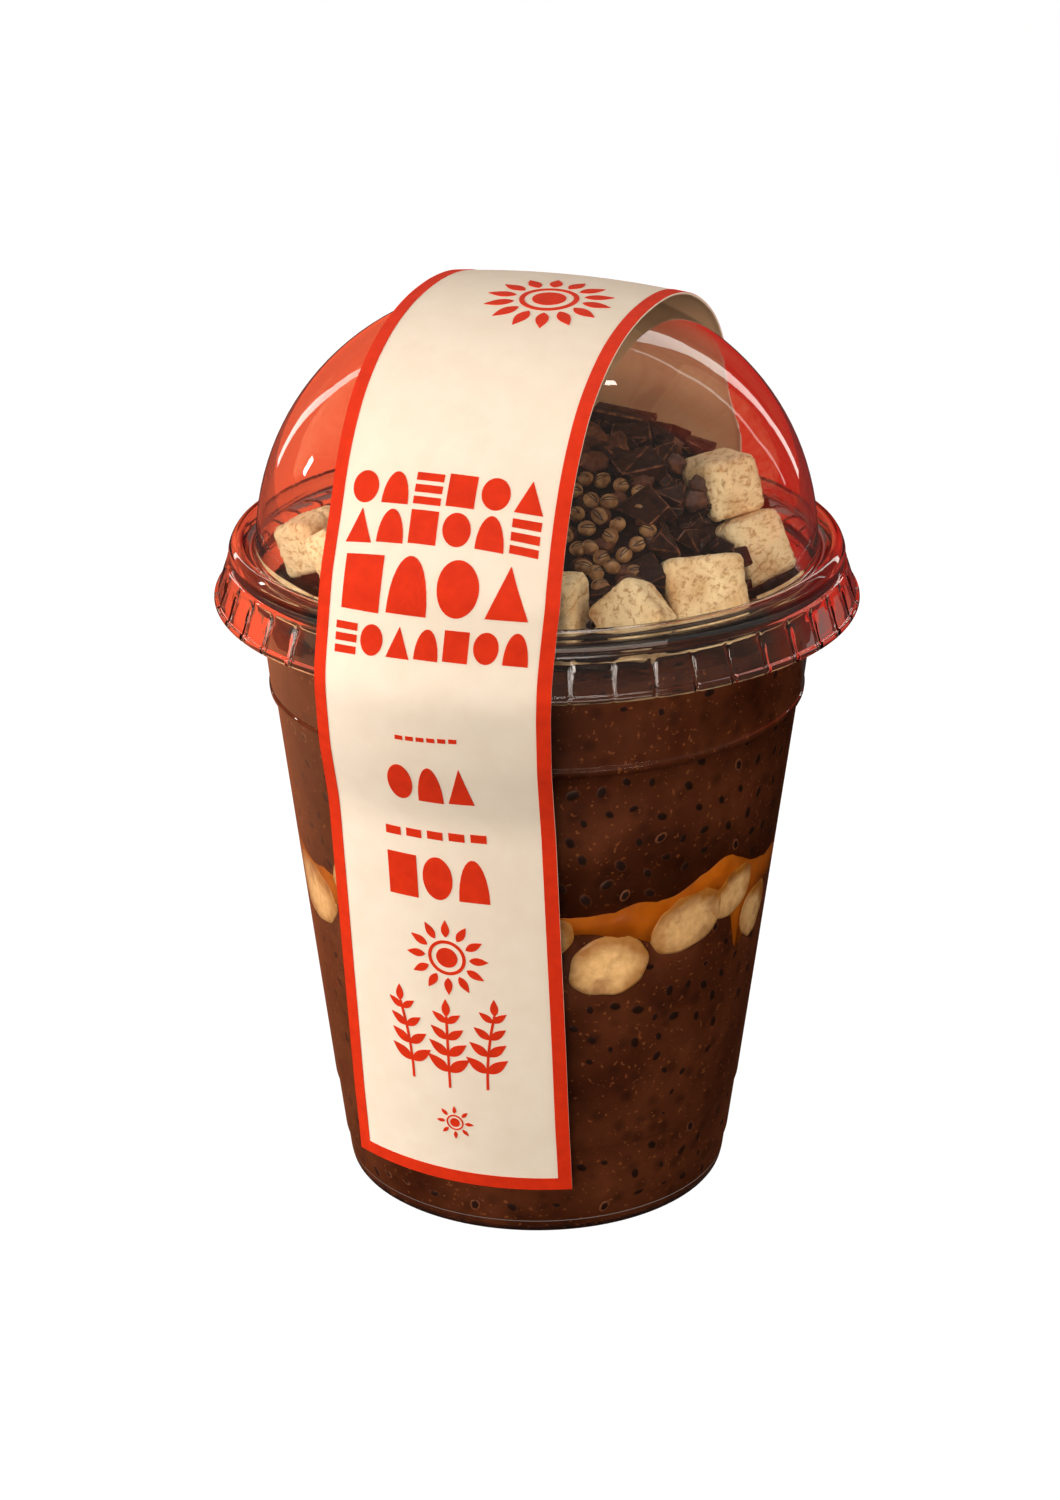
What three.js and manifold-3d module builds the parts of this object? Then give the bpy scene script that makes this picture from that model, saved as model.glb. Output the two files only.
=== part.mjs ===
// Chia pudding in a clear tapered cup with a domed lid and a paper band.
// Millimetres, +Z up, origin at the middle of the cup's foot. The band's printed side faces -Y.

import * as THREE from 'three';
import { mergeVertices } from 'three/addons/utils/BufferGeometryUtils.js';
import { ConvexGeometry } from 'three/addons/geometries/ConvexGeometry.js';
import Module from 'manifold-3d';

const wasm = await Module();
wasm.setup();

// Driving dimensions of the cup
const WALL = 0.5;
const BASE_RADIUS = 26.0;
const WALL_TAPER = 10.3 / 80;
const BASE_RING_Z = 13.2;
const STACK_STEP_Z = 69.2;
const FOOT_INNER = 23.0;
const FOOT_OUTER = 24.8;
const PUSH_UP = 1.6;
const RIM_OUTER = 39.2;
const RIM_INNER = 36.6;
const RIM_BOTTOM = 85.6;
const RIM_TOP = 87.8;

// Driving dimensions of the lid
const LID_WALL = 0.4;
const DOME_RADIUS = 36.75;
const DOME_FOOT_Z = 87.6;
const DOME_RISE = 34.8;
const DOME_EXPONENT = 2.12;
const RIB_COUNT = 48;
const RIB_TOP_Z = 86.3;
const RIB_TIP_Z = 82.7;
const RIB_RADIUS = 41.6;
const RIB_WIDTH = 1.4;

// Driving dimensions of the paper band
const BAND_HALF_WIDTH = 15.6;
const BAND_THICK = 0.3;
const BAND_GAP = 0.35;
const BAND_BOTTOM_Z = 7.8;
const BAND_TOP_Z = 123.0;

// Driving dimensions of the food
const GAP = 0.3;
const CARAMEL_FLOOR = 45.0;
const CARAMEL_CEILING = 48.7;
const PUDDING_TOP = 80.8;
const MENISCUS = 1.1;
const HEAP_FLOOR = 81.1;
const HEAP_HEIGHT = 18.0;
const HEAP_HALF_WIDTH = 30;
const HEAP_CREST_Y = 11;
const HEAP_FRONT_REACH = 35;
const HEAP_BACK_REACH = 17;
const HEAP_LIMIT_RADIUS = 33.0;

// Facets round the axis
const CUP_SIDES = 36;
const LID_SIDES = RIB_COUNT;
const DOME_STEPS = 7;
const BAND_FACETS = 6;
const SLICE_SIDES = 8;
const HEAP_SIDES = 22;

const DEG = Math.PI / 180;

function paint(color, roughness, extra = {}) {
  return new THREE.MeshStandardMaterial({ color, roughness, metalness: 0, ...extra });
}

const clearPlastic = () => paint('#eef3f4', 0.05, { transparent: true, opacity: 0.25 });
const puddingFinish = () => paint('#552b1e', 0.45);
const caramelFinish = () => paint('#a85f17', 0.25);
const freshBanana = () => paint('#c9a465', 0.5);
const driedBanana = () => paint('#e5cfa0', 0.8);
const chocolateFinish = () => paint('#2c1812', 0.5);
const paperFinish = () => paint('#efe0cb', 0.9);

// A seeded stream of numbers from 0 to 1
function randomStream(seed) {
  let state = seed;
  return () => {
    state = (state + 0x6d2b79f5) | 0;
    let mixed = Math.imul(state ^ (state >>> 15), 1 | state);
    mixed = (mixed + Math.imul(mixed ^ (mixed >>> 7), 61 | mixed)) ^ mixed;
    return ((mixed ^ (mixed >>> 14)) >>> 0) / 4294967296;
  };
}

// A closed indexed mesh: shared corners merged, flat triangles dropped, faces pointing out
function closedMesh(geometry) {
  const plain = geometry.clone();
  plain.deleteAttribute('normal');
  plain.deleteAttribute('uv');
  const merged = mergeVertices(plain, 1e-4);
  const kept = [];
  const corners = merged.index.array;
  for (let i = 0; i < corners.length; i += 3) {
    const [a, b, c] = [corners[i], corners[i + 1], corners[i + 2]];
    if (a !== b && b !== c && c !== a) kept.push(a, b, c);
  }
  const place = merged.attributes.position.array;
  const at = (k) => new THREE.Vector3(place[3 * k], place[3 * k + 1], place[3 * k + 2]);
  let volume = 0;
  for (let i = 0; i < kept.length; i += 3) {
    volume += at(kept[i]).dot(at(kept[i + 1]).cross(at(kept[i + 2])));
  }
  if (volume < 0) kept.reverse();
  merged.setIndex(kept);
  return merged;
}

function solidFrom(geometry) {
  const mesh = closedMesh(geometry);
  return new wasm.Manifold(new wasm.Mesh({
    numProp: 3,
    vertProperties: new Float32Array(mesh.attributes.position.array),
    triVerts: new Uint32Array(mesh.index.array),
  }));
}

// The largest body of a cut solid, so that no loose scrap stays
function largestBody(solid) {
  const bodies = solid.decompose();
  return bodies.reduce((best, body) => (body.volume() > best.volume() ? body : best));
}

function geometryFrom(solid) {
  const mesh = largestBody(solid).getMesh();
  const geometry = new THREE.BufferGeometry();
  geometry.setAttribute('position', new THREE.BufferAttribute(new Float32Array(mesh.vertProperties), 3));
  geometry.setIndex(new THREE.BufferAttribute(new Uint32Array(mesh.triVerts), 1));
  return geometry;
}

const group = new THREE.Group();

function addPart(name, solid, material) {
  const mesh = new THREE.Mesh(geometryFrom(solid), material);
  mesh.name = name;
  group.add(mesh);
}

// A profile of [radius, height] points turned about the Z axis
function turned(profile, sides = CUP_SIDES) {
  const points = profile.map(([radius, height]) => new THREE.Vector2(radius, height));
  return solidFrom(new THREE.LatheGeometry(points, sides).rotateX(Math.PI / 2));
}

// Azimuth runs from -Y, where the band is, towards +X
function aroundAxis(radius, azimuth, height) {
  const turn = azimuth * DEG;
  return new THREE.Vector3(radius * Math.sin(turn), -radius * Math.cos(turn), height);
}

// A closed body from rows of [radius, height] that may differ by azimuth; both ends are on the
// axis. Two bodies that meet along the same rows get the same facets there.
function rowsRoundAxis(rowsAt, sides) {
  const corners = [];
  const triangles = [];
  const columns = [];
  for (let i = 0; i < sides; i++) columns.push(rowsAt((i * 360) / sides));
  columns.forEach((rows, i) => rows.forEach(([radius, height]) => {
    corners.push(...aroundAxis(radius, (i * 360) / sides, height));
  }));
  const rowCount = columns[0].length;
  for (let i = 0; i < sides; i++) {
    const here = i * rowCount;
    const next = ((i + 1) % sides) * rowCount;
    for (let k = 0; k + 1 < rowCount; k++) {
      const goesOut = columns[0][k + 1][0] >= columns[0][k][0];
      const [a, b, c, d] = [here + k, next + k, next + k + 1, here + k + 1];
      if (goesOut) triangles.push(a, b, c, a, c, d);
      else triangles.push(a, b, d, b, c, d);
    }
  }
  const geometry = new THREE.BufferGeometry();
  geometry.setAttribute('position', new THREE.Float32BufferAttribute(corners, 3));
  geometry.setIndex(triangles);
  return solidFrom(geometry);
}

const STEP_FADE = 12;

// Outer radius of the tapered cup wall, with its moulded rings
function cupRadius(height) {
  let step = -0.12;
  if (height > BASE_RING_Z) step = 0.08 - (0.28 * (height - BASE_RING_Z)) / (STACK_STEP_Z - BASE_RING_Z);
  if (height > STACK_STEP_Z) step = 0.25 * Math.max(0, 1 - (height - STACK_STEP_Z) / STEP_FADE);
  return BASE_RADIUS + WALL_TAPER * height + step;
}

const RING_EDGE = 0.3;
const wallHeights = [
  1.6,
  BASE_RING_Z - RING_EDGE, BASE_RING_Z + RING_EDGE,
  STACK_STEP_Z - RING_EDGE, STACK_STEP_Z + RING_EDGE,
  STACK_STEP_Z + STEP_FADE,
];

// Cup
function makeCup() {
  const outer = [
    [0, PUSH_UP],
    [FOOT_INNER - 0.9, PUSH_UP],
    [FOOT_INNER, 0],
    [FOOT_OUTER, 0],
    [25.6, 0.5],
    ...wallHeights.map((z) => [cupRadius(z), z]),
    [cupRadius(RIM_BOTTOM) - 0.2, RIM_BOTTOM - 0.2],
    [RIM_OUTER - 0.2, RIM_BOTTOM],
    [RIM_OUTER, RIM_TOP - 0.6],
    [RIM_OUTER - 0.6, RIM_TOP],
    [RIM_INNER + 0.6, RIM_TOP],
  ];
  const inner = [
    [RIM_INNER, RIM_TOP - 0.6],
    ...wallHeights.slice(1).reverse().map((z) => [cupRadius(z) - WALL, z]),
    [25.3, 1.8],
    [FOOT_OUTER - 0.1, 0.7],
    [FOOT_INNER + 0.4, 0.7],
    [FOOT_INNER - 0.6, PUSH_UP + 0.7],
    [0, PUSH_UP + 0.7],
  ];
  return turned([...outer, ...inner]);
}

// Lid: the dome, the flange that grips the rim, and the flared skirt
function domePoints(inset) {
  const points = [];
  for (let i = 0; i <= DOME_STEPS; i++) {
    const down = i / DOME_STEPS;
    const turn = (90 * (1 - down) + 2.2 * down) * DEG;
    const radius = (DOME_RADIUS - inset) * Math.cos(turn) ** (2 / DOME_EXPONENT);
    const height = DOME_FOOT_Z + (DOME_RISE - inset) * Math.sin(turn) ** (2 / DOME_EXPONENT);
    points.push([i === 0 ? 0 : radius, height]);
  }
  return points;
}

function makeRib(index) {
  const points = [
    [40.4, -RIB_WIDTH / 2, RIB_TOP_Z - 0.1],
    [40.4, RIB_WIDTH / 2, RIB_TOP_Z - 0.1],
    [RIB_RADIUS - 0.5, -RIB_WIDTH / 2, RIB_TOP_Z - 0.3],
    [RIB_RADIUS - 0.5, RIB_WIDTH / 2, RIB_TOP_Z - 0.3],
    [41.5, 0, RIB_TIP_Z],
    [RIB_RADIUS + 0.2, 0, RIB_TIP_Z + 0.2],
  ];
  const geometry = new ConvexGeometry(points.map((p) => new THREE.Vector3(...p)));
  return solidFrom(geometry.rotateZ(((index + 0.5) * 360 * DEG) / RIB_COUNT));
}

function makeLid() {
  const profile = [
    ...domePoints(0),
    [37.2, 88.5],
    [39.4, 89.0],
    [40.2, 88.1],
    [40.55, 86.6],
    [42.0, 82.2],
    [42.1, 81.5],
    [41.7, 81.2],
    [41.55, 82.1],
    [40.1, 86.5],
    [39.6, 88.1],
    [37.2, 88.1],
    ...domePoints(LID_WALL).reverse(),
  ];
  let lid = turned(profile, LID_SIDES);
  for (let index = 0; index < RIB_COUNT; index++) lid = lid.add(makeRib(index));
  return lid;
}

// Paper band: a strip that climbs the wall, bridges the lid's flange and crosses the dome.
// Each station holds the distance in front of the axis, the height, how much the strip is
// rolled across its width (1 / radius) and how far it has slid sideways.
const onWall = (z, curl, slide) => {
  const out = cupRadius(z) + BAND_GAP;
  return { out, z, roll: curl / out, slide };
};
const BAND_STATIONS = [
  onWall(BAND_BOTTOM_Z, 0.74, -0.9),
  onWall(31, 0.68, -0.67),
  onWall(62, 0.63, -0.57),
  { out: 39.7, z: 72, roll: 0.0216, slide: 0.85 },
  { out: 42.4, z: 79.5, roll: 0.0253, slide: 1.6 },
  { out: 42.95, z: 81.6, roll: 0.0253, slide: 1.8 },
  { out: 42.65, z: 83.6, roll: 0.025, slide: 1.7 },
  { out: 41.4, z: 87.4, roll: 0.0239, slide: 1.6 },
];
const BAND_BULGE = { lift: 2.8, roll: 0.02, slide: 2.15 };
const BAND_DOME_START = 25;
const BAND_DOME_STEPS = 7;
const BAND_DOME_ROLL = 0.0198;
const BAND_FLAT_ROLL = 0.0071;
const BAND_FLATTENS_OVER = 24;
const BAND_DOME_SLIDE = [0.74, 0.52, 0.75];

function bandDomePoint(elevation) {
  const turn = elevation * DEG;
  const reach = DOME_RADIUS + 0.15;
  const rise = BAND_TOP_Z - BAND_THICK - DOME_FOOT_Z;
  const power = DOME_EXPONENT;
  const k = (Math.abs(Math.cos(turn)) ** power + Math.abs(Math.sin(turn)) ** power) ** (-1 / power);
  return { out: reach * k * Math.cos(turn), z: DOME_FOOT_Z + rise * k * Math.sin(turn) };
}

function bandPath() {
  const path = [];
  const front = BAND_STATIONS;
  const wallSteps = [2, 2, 2, 2, 1, 1, 1];
  for (let i = 0; i + 1 < front.length; i++) {
    for (let k = 0; k < wallSteps[i]; k++) {
      const t = k / wallSteps[i];
      const mix = (key) => front[i][key] * (1 - t) + front[i + 1][key] * t;
      path.push({ out: mix('out'), z: mix('z'), roll: mix('roll'), slide: mix('slide') });
    }
  }
  const bead = front[front.length - 1];
  path.push(bead);
  const foot = bandDomePoint(BAND_DOME_START);
  path.push({
    out: (bead.out + foot.out) / 2 + BAND_BULGE.lift,
    z: (bead.z + foot.z) / 2,
    roll: BAND_BULGE.roll,
    slide: BAND_BULGE.slide,
  });
  for (let i = 0; i <= BAND_DOME_STEPS; i++) {
    const elevation = BAND_DOME_START + ((90 - BAND_DOME_START) * i) / BAND_DOME_STEPS;
    const point = bandDomePoint(elevation);
    const { clamp, lerp } = THREE.MathUtils;
    const flatten = clamp((elevation - BAND_DOME_START) / BAND_FLATTENS_OVER, 0, 1);
    point.roll = lerp(BAND_DOME_ROLL, BAND_FLAT_ROLL, flatten);
    const [foot25, middle65, apex] = BAND_DOME_SLIDE;
    point.slide = elevation < 65
      ? lerp(foot25, middle65, (elevation - 25) / 40)
      : lerp(middle65, apex, (elevation - 65) / 25);
    path.push(point);
  }
  const back = path.slice(0, -1).reverse().map((p) => {
    const slide = p.z > 100 ? p.slide : p.slide * 0.3;
    return { ...p, out: -p.out, slide };
  });
  return [...path, ...back];
}

function makeBand() {
  const path = bandPath();
  const across = BAND_FACETS;
  const skins = [0, BAND_THICK].map((lift) => path.map((station, i) => {
    const before = path[Math.max(i - 1, 0)];
    const after = path[Math.min(i + 1, path.length - 1)];
    const along = new THREE.Vector2(after.out - before.out, after.z - before.z).normalize();
    const facing = new THREE.Vector2(along.y, -along.x);
    const row = [];
    for (let k = 0; k <= across; k++) {
      const side = BAND_HALF_WIDTH * ((2 * k) / across - 1) + station.slide;
      const turn = side * station.roll;
      const radius = 1 / station.roll;
      const drop = radius * (1 - Math.cos(turn)) - lift * Math.cos(turn);
      const out = station.out - facing.x * drop;
      const height = station.z - facing.y * drop;
      row.push([(radius + lift) * Math.sin(turn), -out, height]);
    }
    return row;
  }));
  const corners = skins.flat(2).flat();
  const perRow = across + 1;
  const perSkin = perRow * path.length;
  const triangles = [];
  const quad = (a, b, c, d) => triangles.push(a, b, c, a, c, d);
  for (let i = 0; i + 1 < path.length; i++) {
    for (let k = 0; k < across; k++) {
      const a = i * perRow + k;
      quad(a, a + perRow, a + perRow + 1, a + 1);
      quad(a + perSkin, a + 1 + perSkin, a + perRow + 1 + perSkin, a + perRow + perSkin);
    }
    const left = i * perRow;
    const right = left + across;
    quad(left, left + perSkin, left + perRow + perSkin, left + perRow);
    quad(right, right + perRow, right + perRow + perSkin, right + perSkin);
  }
  for (let k = 0; k < across; k++) {
    const last = (path.length - 1) * perRow + k;
    quad(k, k + 1, k + 1 + perSkin, k + perSkin);
    quad(last, last + perSkin, last + 1 + perSkin, last + 1);
  }
  const geometry = new THREE.BufferGeometry();
  geometry.setAttribute('position', new THREE.Float32BufferAttribute(corners, 3));
  geometry.setIndex(triangles);
  return solidFrom(geometry);
}

// Banana slices that lie against the wall: azimuth, height, width, height of the oval, tilt
const SLICES = [
  { name: 'right_1', az: 38.5, z: 41.4, wide: 11.0, tall: 9.8, tilt: 5 },
  { name: 'right_2', az: 59.5, z: 45.5, wide: 12.2, tall: 9.2, tilt: 15 },
  { name: 'right_3', az: 74.5, z: 47.0, wide: 9.5, tall: 7.0, tilt: 25 },
  { name: 'right_4', az: 87.0, z: 42.0, wide: 8.5, tall: 8.4, tilt: -10 },
  { name: 'front_1', az: 21.0, z: 46.6, wide: 9.6, tall: 7.6, tilt: -12 },
  { name: 'front_2', az: -4.0, z: 42.6, wide: 11.0, tall: 9.0, tilt: 8 },
  { name: 'left_1', az: -48.0, z: 44.5, wide: 13.5, tall: 9.4, tilt: -8 },
  { name: 'left_2', az: -27.0, z: 49.3, wide: 9.0, tall: 6.6, tilt: 10 },
  { name: 'left_3', az: -77.0, z: 43.4, wide: 11.0, tall: 9.0, tilt: 12 },
  { name: 'back_1', az: 112.0, z: 44.6, wide: 11.5, tall: 9.2, tilt: 8 },
  { name: 'back_2', az: 141.0, z: 43.2, wide: 10.5, tall: 8.6, tilt: -14 },
  { name: 'back_3', az: 170.0, z: 45.4, wide: 12.0, tall: 9.4, tilt: 6 },
  { name: 'back_4', az: -158.0, z: 42.8, wide: 10.0, tall: 8.2, tilt: 0 },
  { name: 'back_5', az: -124.0, z: 45.0, wide: 11.5, tall: 9.0, tilt: 14 },
];
const SLICE_DEPTH = 6.5;

// A body of the food's outer form, which keeps every piece inside the cup wall
function foodRadius(height) {
  return cupRadius(height) - WALL - GAP;
}

const foodEnvelope = turned([
  [0, 2],
  [foodRadius(2), 2],
  ...wallHeights.slice(1).map((z) => [foodRadius(z), z]),
  [foodRadius(84), 84],
  [0, 84],
], CUP_SIDES);

// A slice is a rounded disc seen face on through the wall
function sliceBody(slice, grow) {
  const profile = [
    [0, -SLICE_DEPTH / 2 - grow],
    [0.4, -SLICE_DEPTH / 2 - grow],
    [0.51, SLICE_DEPTH / 12],
    [0.44, SLICE_DEPTH / 2 + grow],
    [0, SLICE_DEPTH / 2 + grow],
  ];
  const points = profile.map(([radius, depth]) => new THREE.Vector2(radius, depth));
  const geometry = new THREE.LatheGeometry(points, SLICE_SIDES);
  geometry.scale(slice.wide + 2 * grow, 1, slice.tall + 2 * grow);
  geometry.rotateY(slice.tilt * DEG);
  const centre = aroundAxis(foodRadius(slice.z) - SLICE_DEPTH / 2 + 1.0, slice.az, slice.z);
  geometry.rotateZ(slice.az * DEG);
  geometry.translate(centre.x, centre.y, centre.z);
  return solidFrom(geometry);
}

const slices = [];
SLICES.forEach((slice, index) => {
  let body = sliceBody(slice, 0).intersect(foodEnvelope);
  SLICES.slice(0, index).forEach((other) => {
    body = body.subtract(sliceBody(other, GAP));
  });
  slices.push(body);
});
const slicePockets = SLICES.map((slice) => sliceBody(slice, GAP))
  .reduce((all, pocket) => all.add(pocket));

// Height of a wavy edge at an azimuth: a level and a few rounded rises or dips
function waveAt(azimuth, level, waves) {
  let height = level;
  waves.forEach(({ az, rise, spread }) => {
    const apart = ((azimuth - az + 540) % 360) - 180;
    height += rise * Math.exp(-((apart / spread) ** 2));
  });
  return height;
}

const CARAMEL_TOP_WAVES = [
  { az: 43, rise: 1.0, spread: 6 },
  { az: 69, rise: 4.0, spread: 13 },
  { az: -60, rise: 0.9, spread: 9 },
  { az: 120, rise: 1.6, spread: 16 },
  { az: -150, rise: 2.0, spread: 18 },
];
const CARAMEL_FLOOR_WAVES = [
  { az: 32, rise: 1.5, spread: 6 },
  { az: 48.5, rise: -1.4, spread: 3.5 },
  { az: 66, rise: 3.0, spread: 7 },
  { az: 79.5, rise: -7.5, spread: 4.5 },
  { az: -42, rise: -2.2, spread: 6 },
  { az: 148, rise: -3.5, spread: 6 },
  { az: -98, rise: -2.5, spread: 7 },
];

// The wavy edges show at the wall and settle to level further in
function settled(azimuth, share, level, waves) {
  const towardsWall = THREE.MathUtils.smoothstep(share, 0.62, 1);
  return level + (waveAt(azimuth, level, waves) - level) * towardsWall;
}

const caramelTop = (azimuth, share) => settled(azimuth, share, CARAMEL_CEILING, CARAMEL_TOP_WAVES);
const caramelFloor = (azimuth, share) => settled(azimuth, share, CARAMEL_FLOOR, CARAMEL_FLOOR_WAVES);

const SHARES_OUT = [0.62, 0.82, 1];

function rowsOf(heightAt, azimuth, lift = 0) {
  return SHARES_OUT.map((share) => {
    const height = heightAt(azimuth, share) + lift;
    return [share * foodRadius(height), height];
  });
}

function makeLowerPudding() {
  const body = rowsRoundAxis((azimuth) => [
    [0, PUSH_UP + 1.0],
    [FOOT_INNER - 0.8, PUSH_UP + 1.0],
    [FOOT_INNER + 0.5, 1.0],
    [FOOT_OUTER - 0.3, 1.0],
    [24.95, 2.0],
    ...wallHeights.slice(1, 3).map((z) => [foodRadius(z), z]),
    ...rowsOf(caramelFloor, azimuth, -GAP).reverse(),
    [0, CARAMEL_FLOOR - GAP],
  ], CUP_SIDES);
  return body.subtract(slicePockets);
}

function makeCaramel() {
  const body = rowsRoundAxis((azimuth) => [
    [0, CARAMEL_FLOOR],
    ...rowsOf(caramelFloor, azimuth),
    ...rowsOf(caramelTop, azimuth).reverse(),
    [0, CARAMEL_CEILING],
  ], CUP_SIDES);
  return body.subtract(slicePockets);
}

// The pudding's top is level, and creeps up where it meets the wall
function makeUpperPudding(toppings) {
  const wallTop = PUDDING_TOP + MENISCUS;
  const body = rowsRoundAxis((azimuth) => [
    [0, CARAMEL_CEILING + GAP],
    ...rowsOf(caramelTop, azimuth, GAP),
    ...wallHeights.slice(3).map((z) => [foodRadius(z), z]),
    [foodRadius(wallTop), wallTop],
    [foodRadius(wallTop) - 1.6, PUDDING_TOP],
    [0, PUDDING_TOP],
  ], CUP_SIDES);
  return body.subtract(slicePockets).subtract(toppings);
}

// Crisp banana cubes on the pudding: centre, edge length, and yaw, tilt and roll in degrees
const CUBES = [
  { name: 'front_1', at: [9.9, -22.4, 87.2], edge: 8.8, turn: [4, -4, -3] },
  { name: 'front_2', at: [20.7, -20.2, 87.2], edge: 7.5, turn: [-7, -24, 40] },
  { name: 'front_3', at: [-8.6, -25.2, 87.0], edge: 8.2, turn: [20, 6, 8] },
  { name: 'right_1', at: [26.1, -9.8, 87.6], edge: 9.4, turn: [27, -21, -5] },
  { name: 'right_2', at: [26.3, 7.5, 88.2], edge: 8.6, turn: [55, -20, -12] },
  { name: 'right_3', at: [22.3, 9.0, 96.1], edge: 7.9, turn: [50, -8, -6] },
  { name: 'left_1', at: [-29.2, -6.7, 87.2], edge: 7.0, turn: [-17, 10, -20] },
  { name: 'left_2', at: [-19.9, -14.5, 88.8], edge: 8.4, turn: [1, -14, -32] },
  { name: 'left_3', at: [-25.2, 6.4, 96.2], edge: 8.0, turn: [41, 10, 10] },
  { name: 'back_1', at: [3.6, 29.0, 87.6], edge: 8.0, turn: [12, 15, 8] },
  { name: 'back_2', at: [-9.4, 27.6, 88.0], edge: 8.6, turn: [38, 12, -14] },
  { name: 'back_3', at: [-22.4, 20.4, 87.6], edge: 7.8, turn: [-16, 8, 18] },
];
const CUBE_CHAMFER = 0.55;

// A cube with its edges worn off, and its corners a little out of square
function cubeBody(cube, index, grow) {
  const random = randomStream(100 + index);
  const half = cube.edge / 2 + grow;
  const inner = half - CUBE_CHAMFER;
  const points = [];
  for (const x of [-1, 1]) {
    for (const y of [-1, 1]) {
      for (const z of [-1, 1]) {
        const skew = new THREE.Vector3(random(), random(), random()).multiplyScalar(0.5);
        const corner = (a, b, c) => new THREE.Vector3(x * a, y * b, z * c).sub(
          new THREE.Vector3(x * skew.x, y * skew.y, z * skew.z));
        points.push(corner(half, inner, inner), corner(inner, half, inner), corner(inner, inner, half));
      }
    }
  }
  const geometry = new ConvexGeometry(points);
  const [yaw, tilt, roll] = cube.turn.map((angle) => angle * DEG);
  geometry.rotateY(roll);
  geometry.rotateX(tilt);
  geometry.rotateZ(yaw);
  geometry.translate(...cube.at);
  return solidFrom(geometry);
}

const cubePockets = CUBES.map((cube, index) => cubeBody(cube, index, GAP))
  .reduce((all, pocket) => all.add(pocket));

// Heap of chocolate pieces and crisp pearls
function heapShare(x, y) {
  const reach = y > HEAP_CREST_Y ? HEAP_BACK_REACH : HEAP_FRONT_REACH;
  return (Math.abs(x) / HEAP_HALF_WIDTH) ** 4 + ((y - HEAP_CREST_Y) / reach) ** 2;
}

function heapHeight(x, y) {
  return HEAP_FLOOR + 1.2 + HEAP_HEIGHT * Math.max(0, 1 - heapShare(x, y));
}

function heapEdge(azimuth) {
  const way = aroundAxis(1, azimuth, 0);
  let low = 0;
  let high = 60;
  for (let i = 0; i < 30; i++) {
    const reach = (low + high) / 2;
    const x = reach * way.x;
    const y = HEAP_CREST_Y / 2 + reach * way.y;
    const inside = heapShare(x, y) < 1 && Math.hypot(x, y) < HEAP_LIMIT_RADIUS;
    if (inside) low = reach;
    else high = reach;
  }
  return low;
}

function heapCore() {
  const random = randomStream(7);
  const lumps = [0.3, 0.55, 0.8, 1];
  const body = rowsRoundAxis((azimuth) => {
    const edge = heapEdge(azimuth);
    const way = aroundAxis(1, azimuth, 0);
    const top = lumps.map((share) => {
      const reach = share * edge;
      const relief = share < 1 ? random() - 0.5 : 0;
      const height = heapHeight(reach * way.x, HEAP_CREST_Y / 2 + reach * way.y) + relief;
      return [reach, height - HEAP_FLOOR];
    });
    return [[0, 0], [edge, 0], ...top.reverse(), [0, heapHeight(0, HEAP_CREST_Y / 2) - HEAP_FLOOR]];
  }, HEAP_SIDES);
  return body.translate([0, HEAP_CREST_Y / 2, HEAP_FLOOR]);
}

const PEARL_PATCH = { x: 11.5, y: -9.5, wide: 7.5, deep: 8.5 };
const PEARL_SIZE = 2.1;
const CHUNK_SPACING = 6.3;
const CHUNK_SIZE = [5.0, 7.8];

// Places spread over the heap, each at least the spacing from the last ones
function scatter(random, spacing, tries, allowed) {
  const places = [];
  for (let i = 0; i < tries; i++) {
    const x = (random() * 2 - 1) * HEAP_LIMIT_RADIUS;
    const y = (random() * 2 - 1) * HEAP_LIMIT_RADIUS;
    const clear = places.every((p) => Math.hypot(p.x - x, p.y - y) > spacing);
    if (clear && allowed(x, y)) places.push({ x, y, z: heapHeight(x, y) });
  }
  return places;
}

function inPearlPatch(x, y) {
  return Math.hypot((x - PEARL_PATCH.x) / PEARL_PATCH.wide, (y - PEARL_PATCH.y) / PEARL_PATCH.deep) < 1;
}

function inHeap(x, y, margin) {
  return heapShare(x, y) < margin && Math.hypot(x, y) < HEAP_LIMIT_RADIUS - 3;
}

// A broken piece of chocolate: the hull of a few corners of a flat block
function chunkBody(place, random) {
  const size = CHUNK_SIZE[0] + (CHUNK_SIZE[1] - CHUNK_SIZE[0]) * random();
  const points = [];
  for (let i = 0; i < 8; i++) {
    const corner = new THREE.Vector3(random() - 0.5, random() - 0.5, random() - 0.5);
    corner.normalize().multiply(new THREE.Vector3(0.55, 0.42, 0.34)).multiplyScalar(size);
    points.push(corner);
  }
  const geometry = new ConvexGeometry(points);
  geometry.rotateX((random() - 0.5) * 1.4);
  geometry.rotateY((random() - 0.5) * 1.4);
  geometry.rotateZ(random() * Math.PI * 2);
  geometry.translate(place.x, place.y, place.z + 0.5);
  return solidFrom(geometry);
}

function pearlBody(place, random) {
  const geometry = new THREE.IcosahedronGeometry(PEARL_SIZE / 2, 0);
  geometry.rotateX(random() * Math.PI);
  geometry.rotateZ(random() * Math.PI);
  geometry.translate(place.x, place.y, place.z + 0.45);
  return solidFrom(geometry);
}

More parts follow.
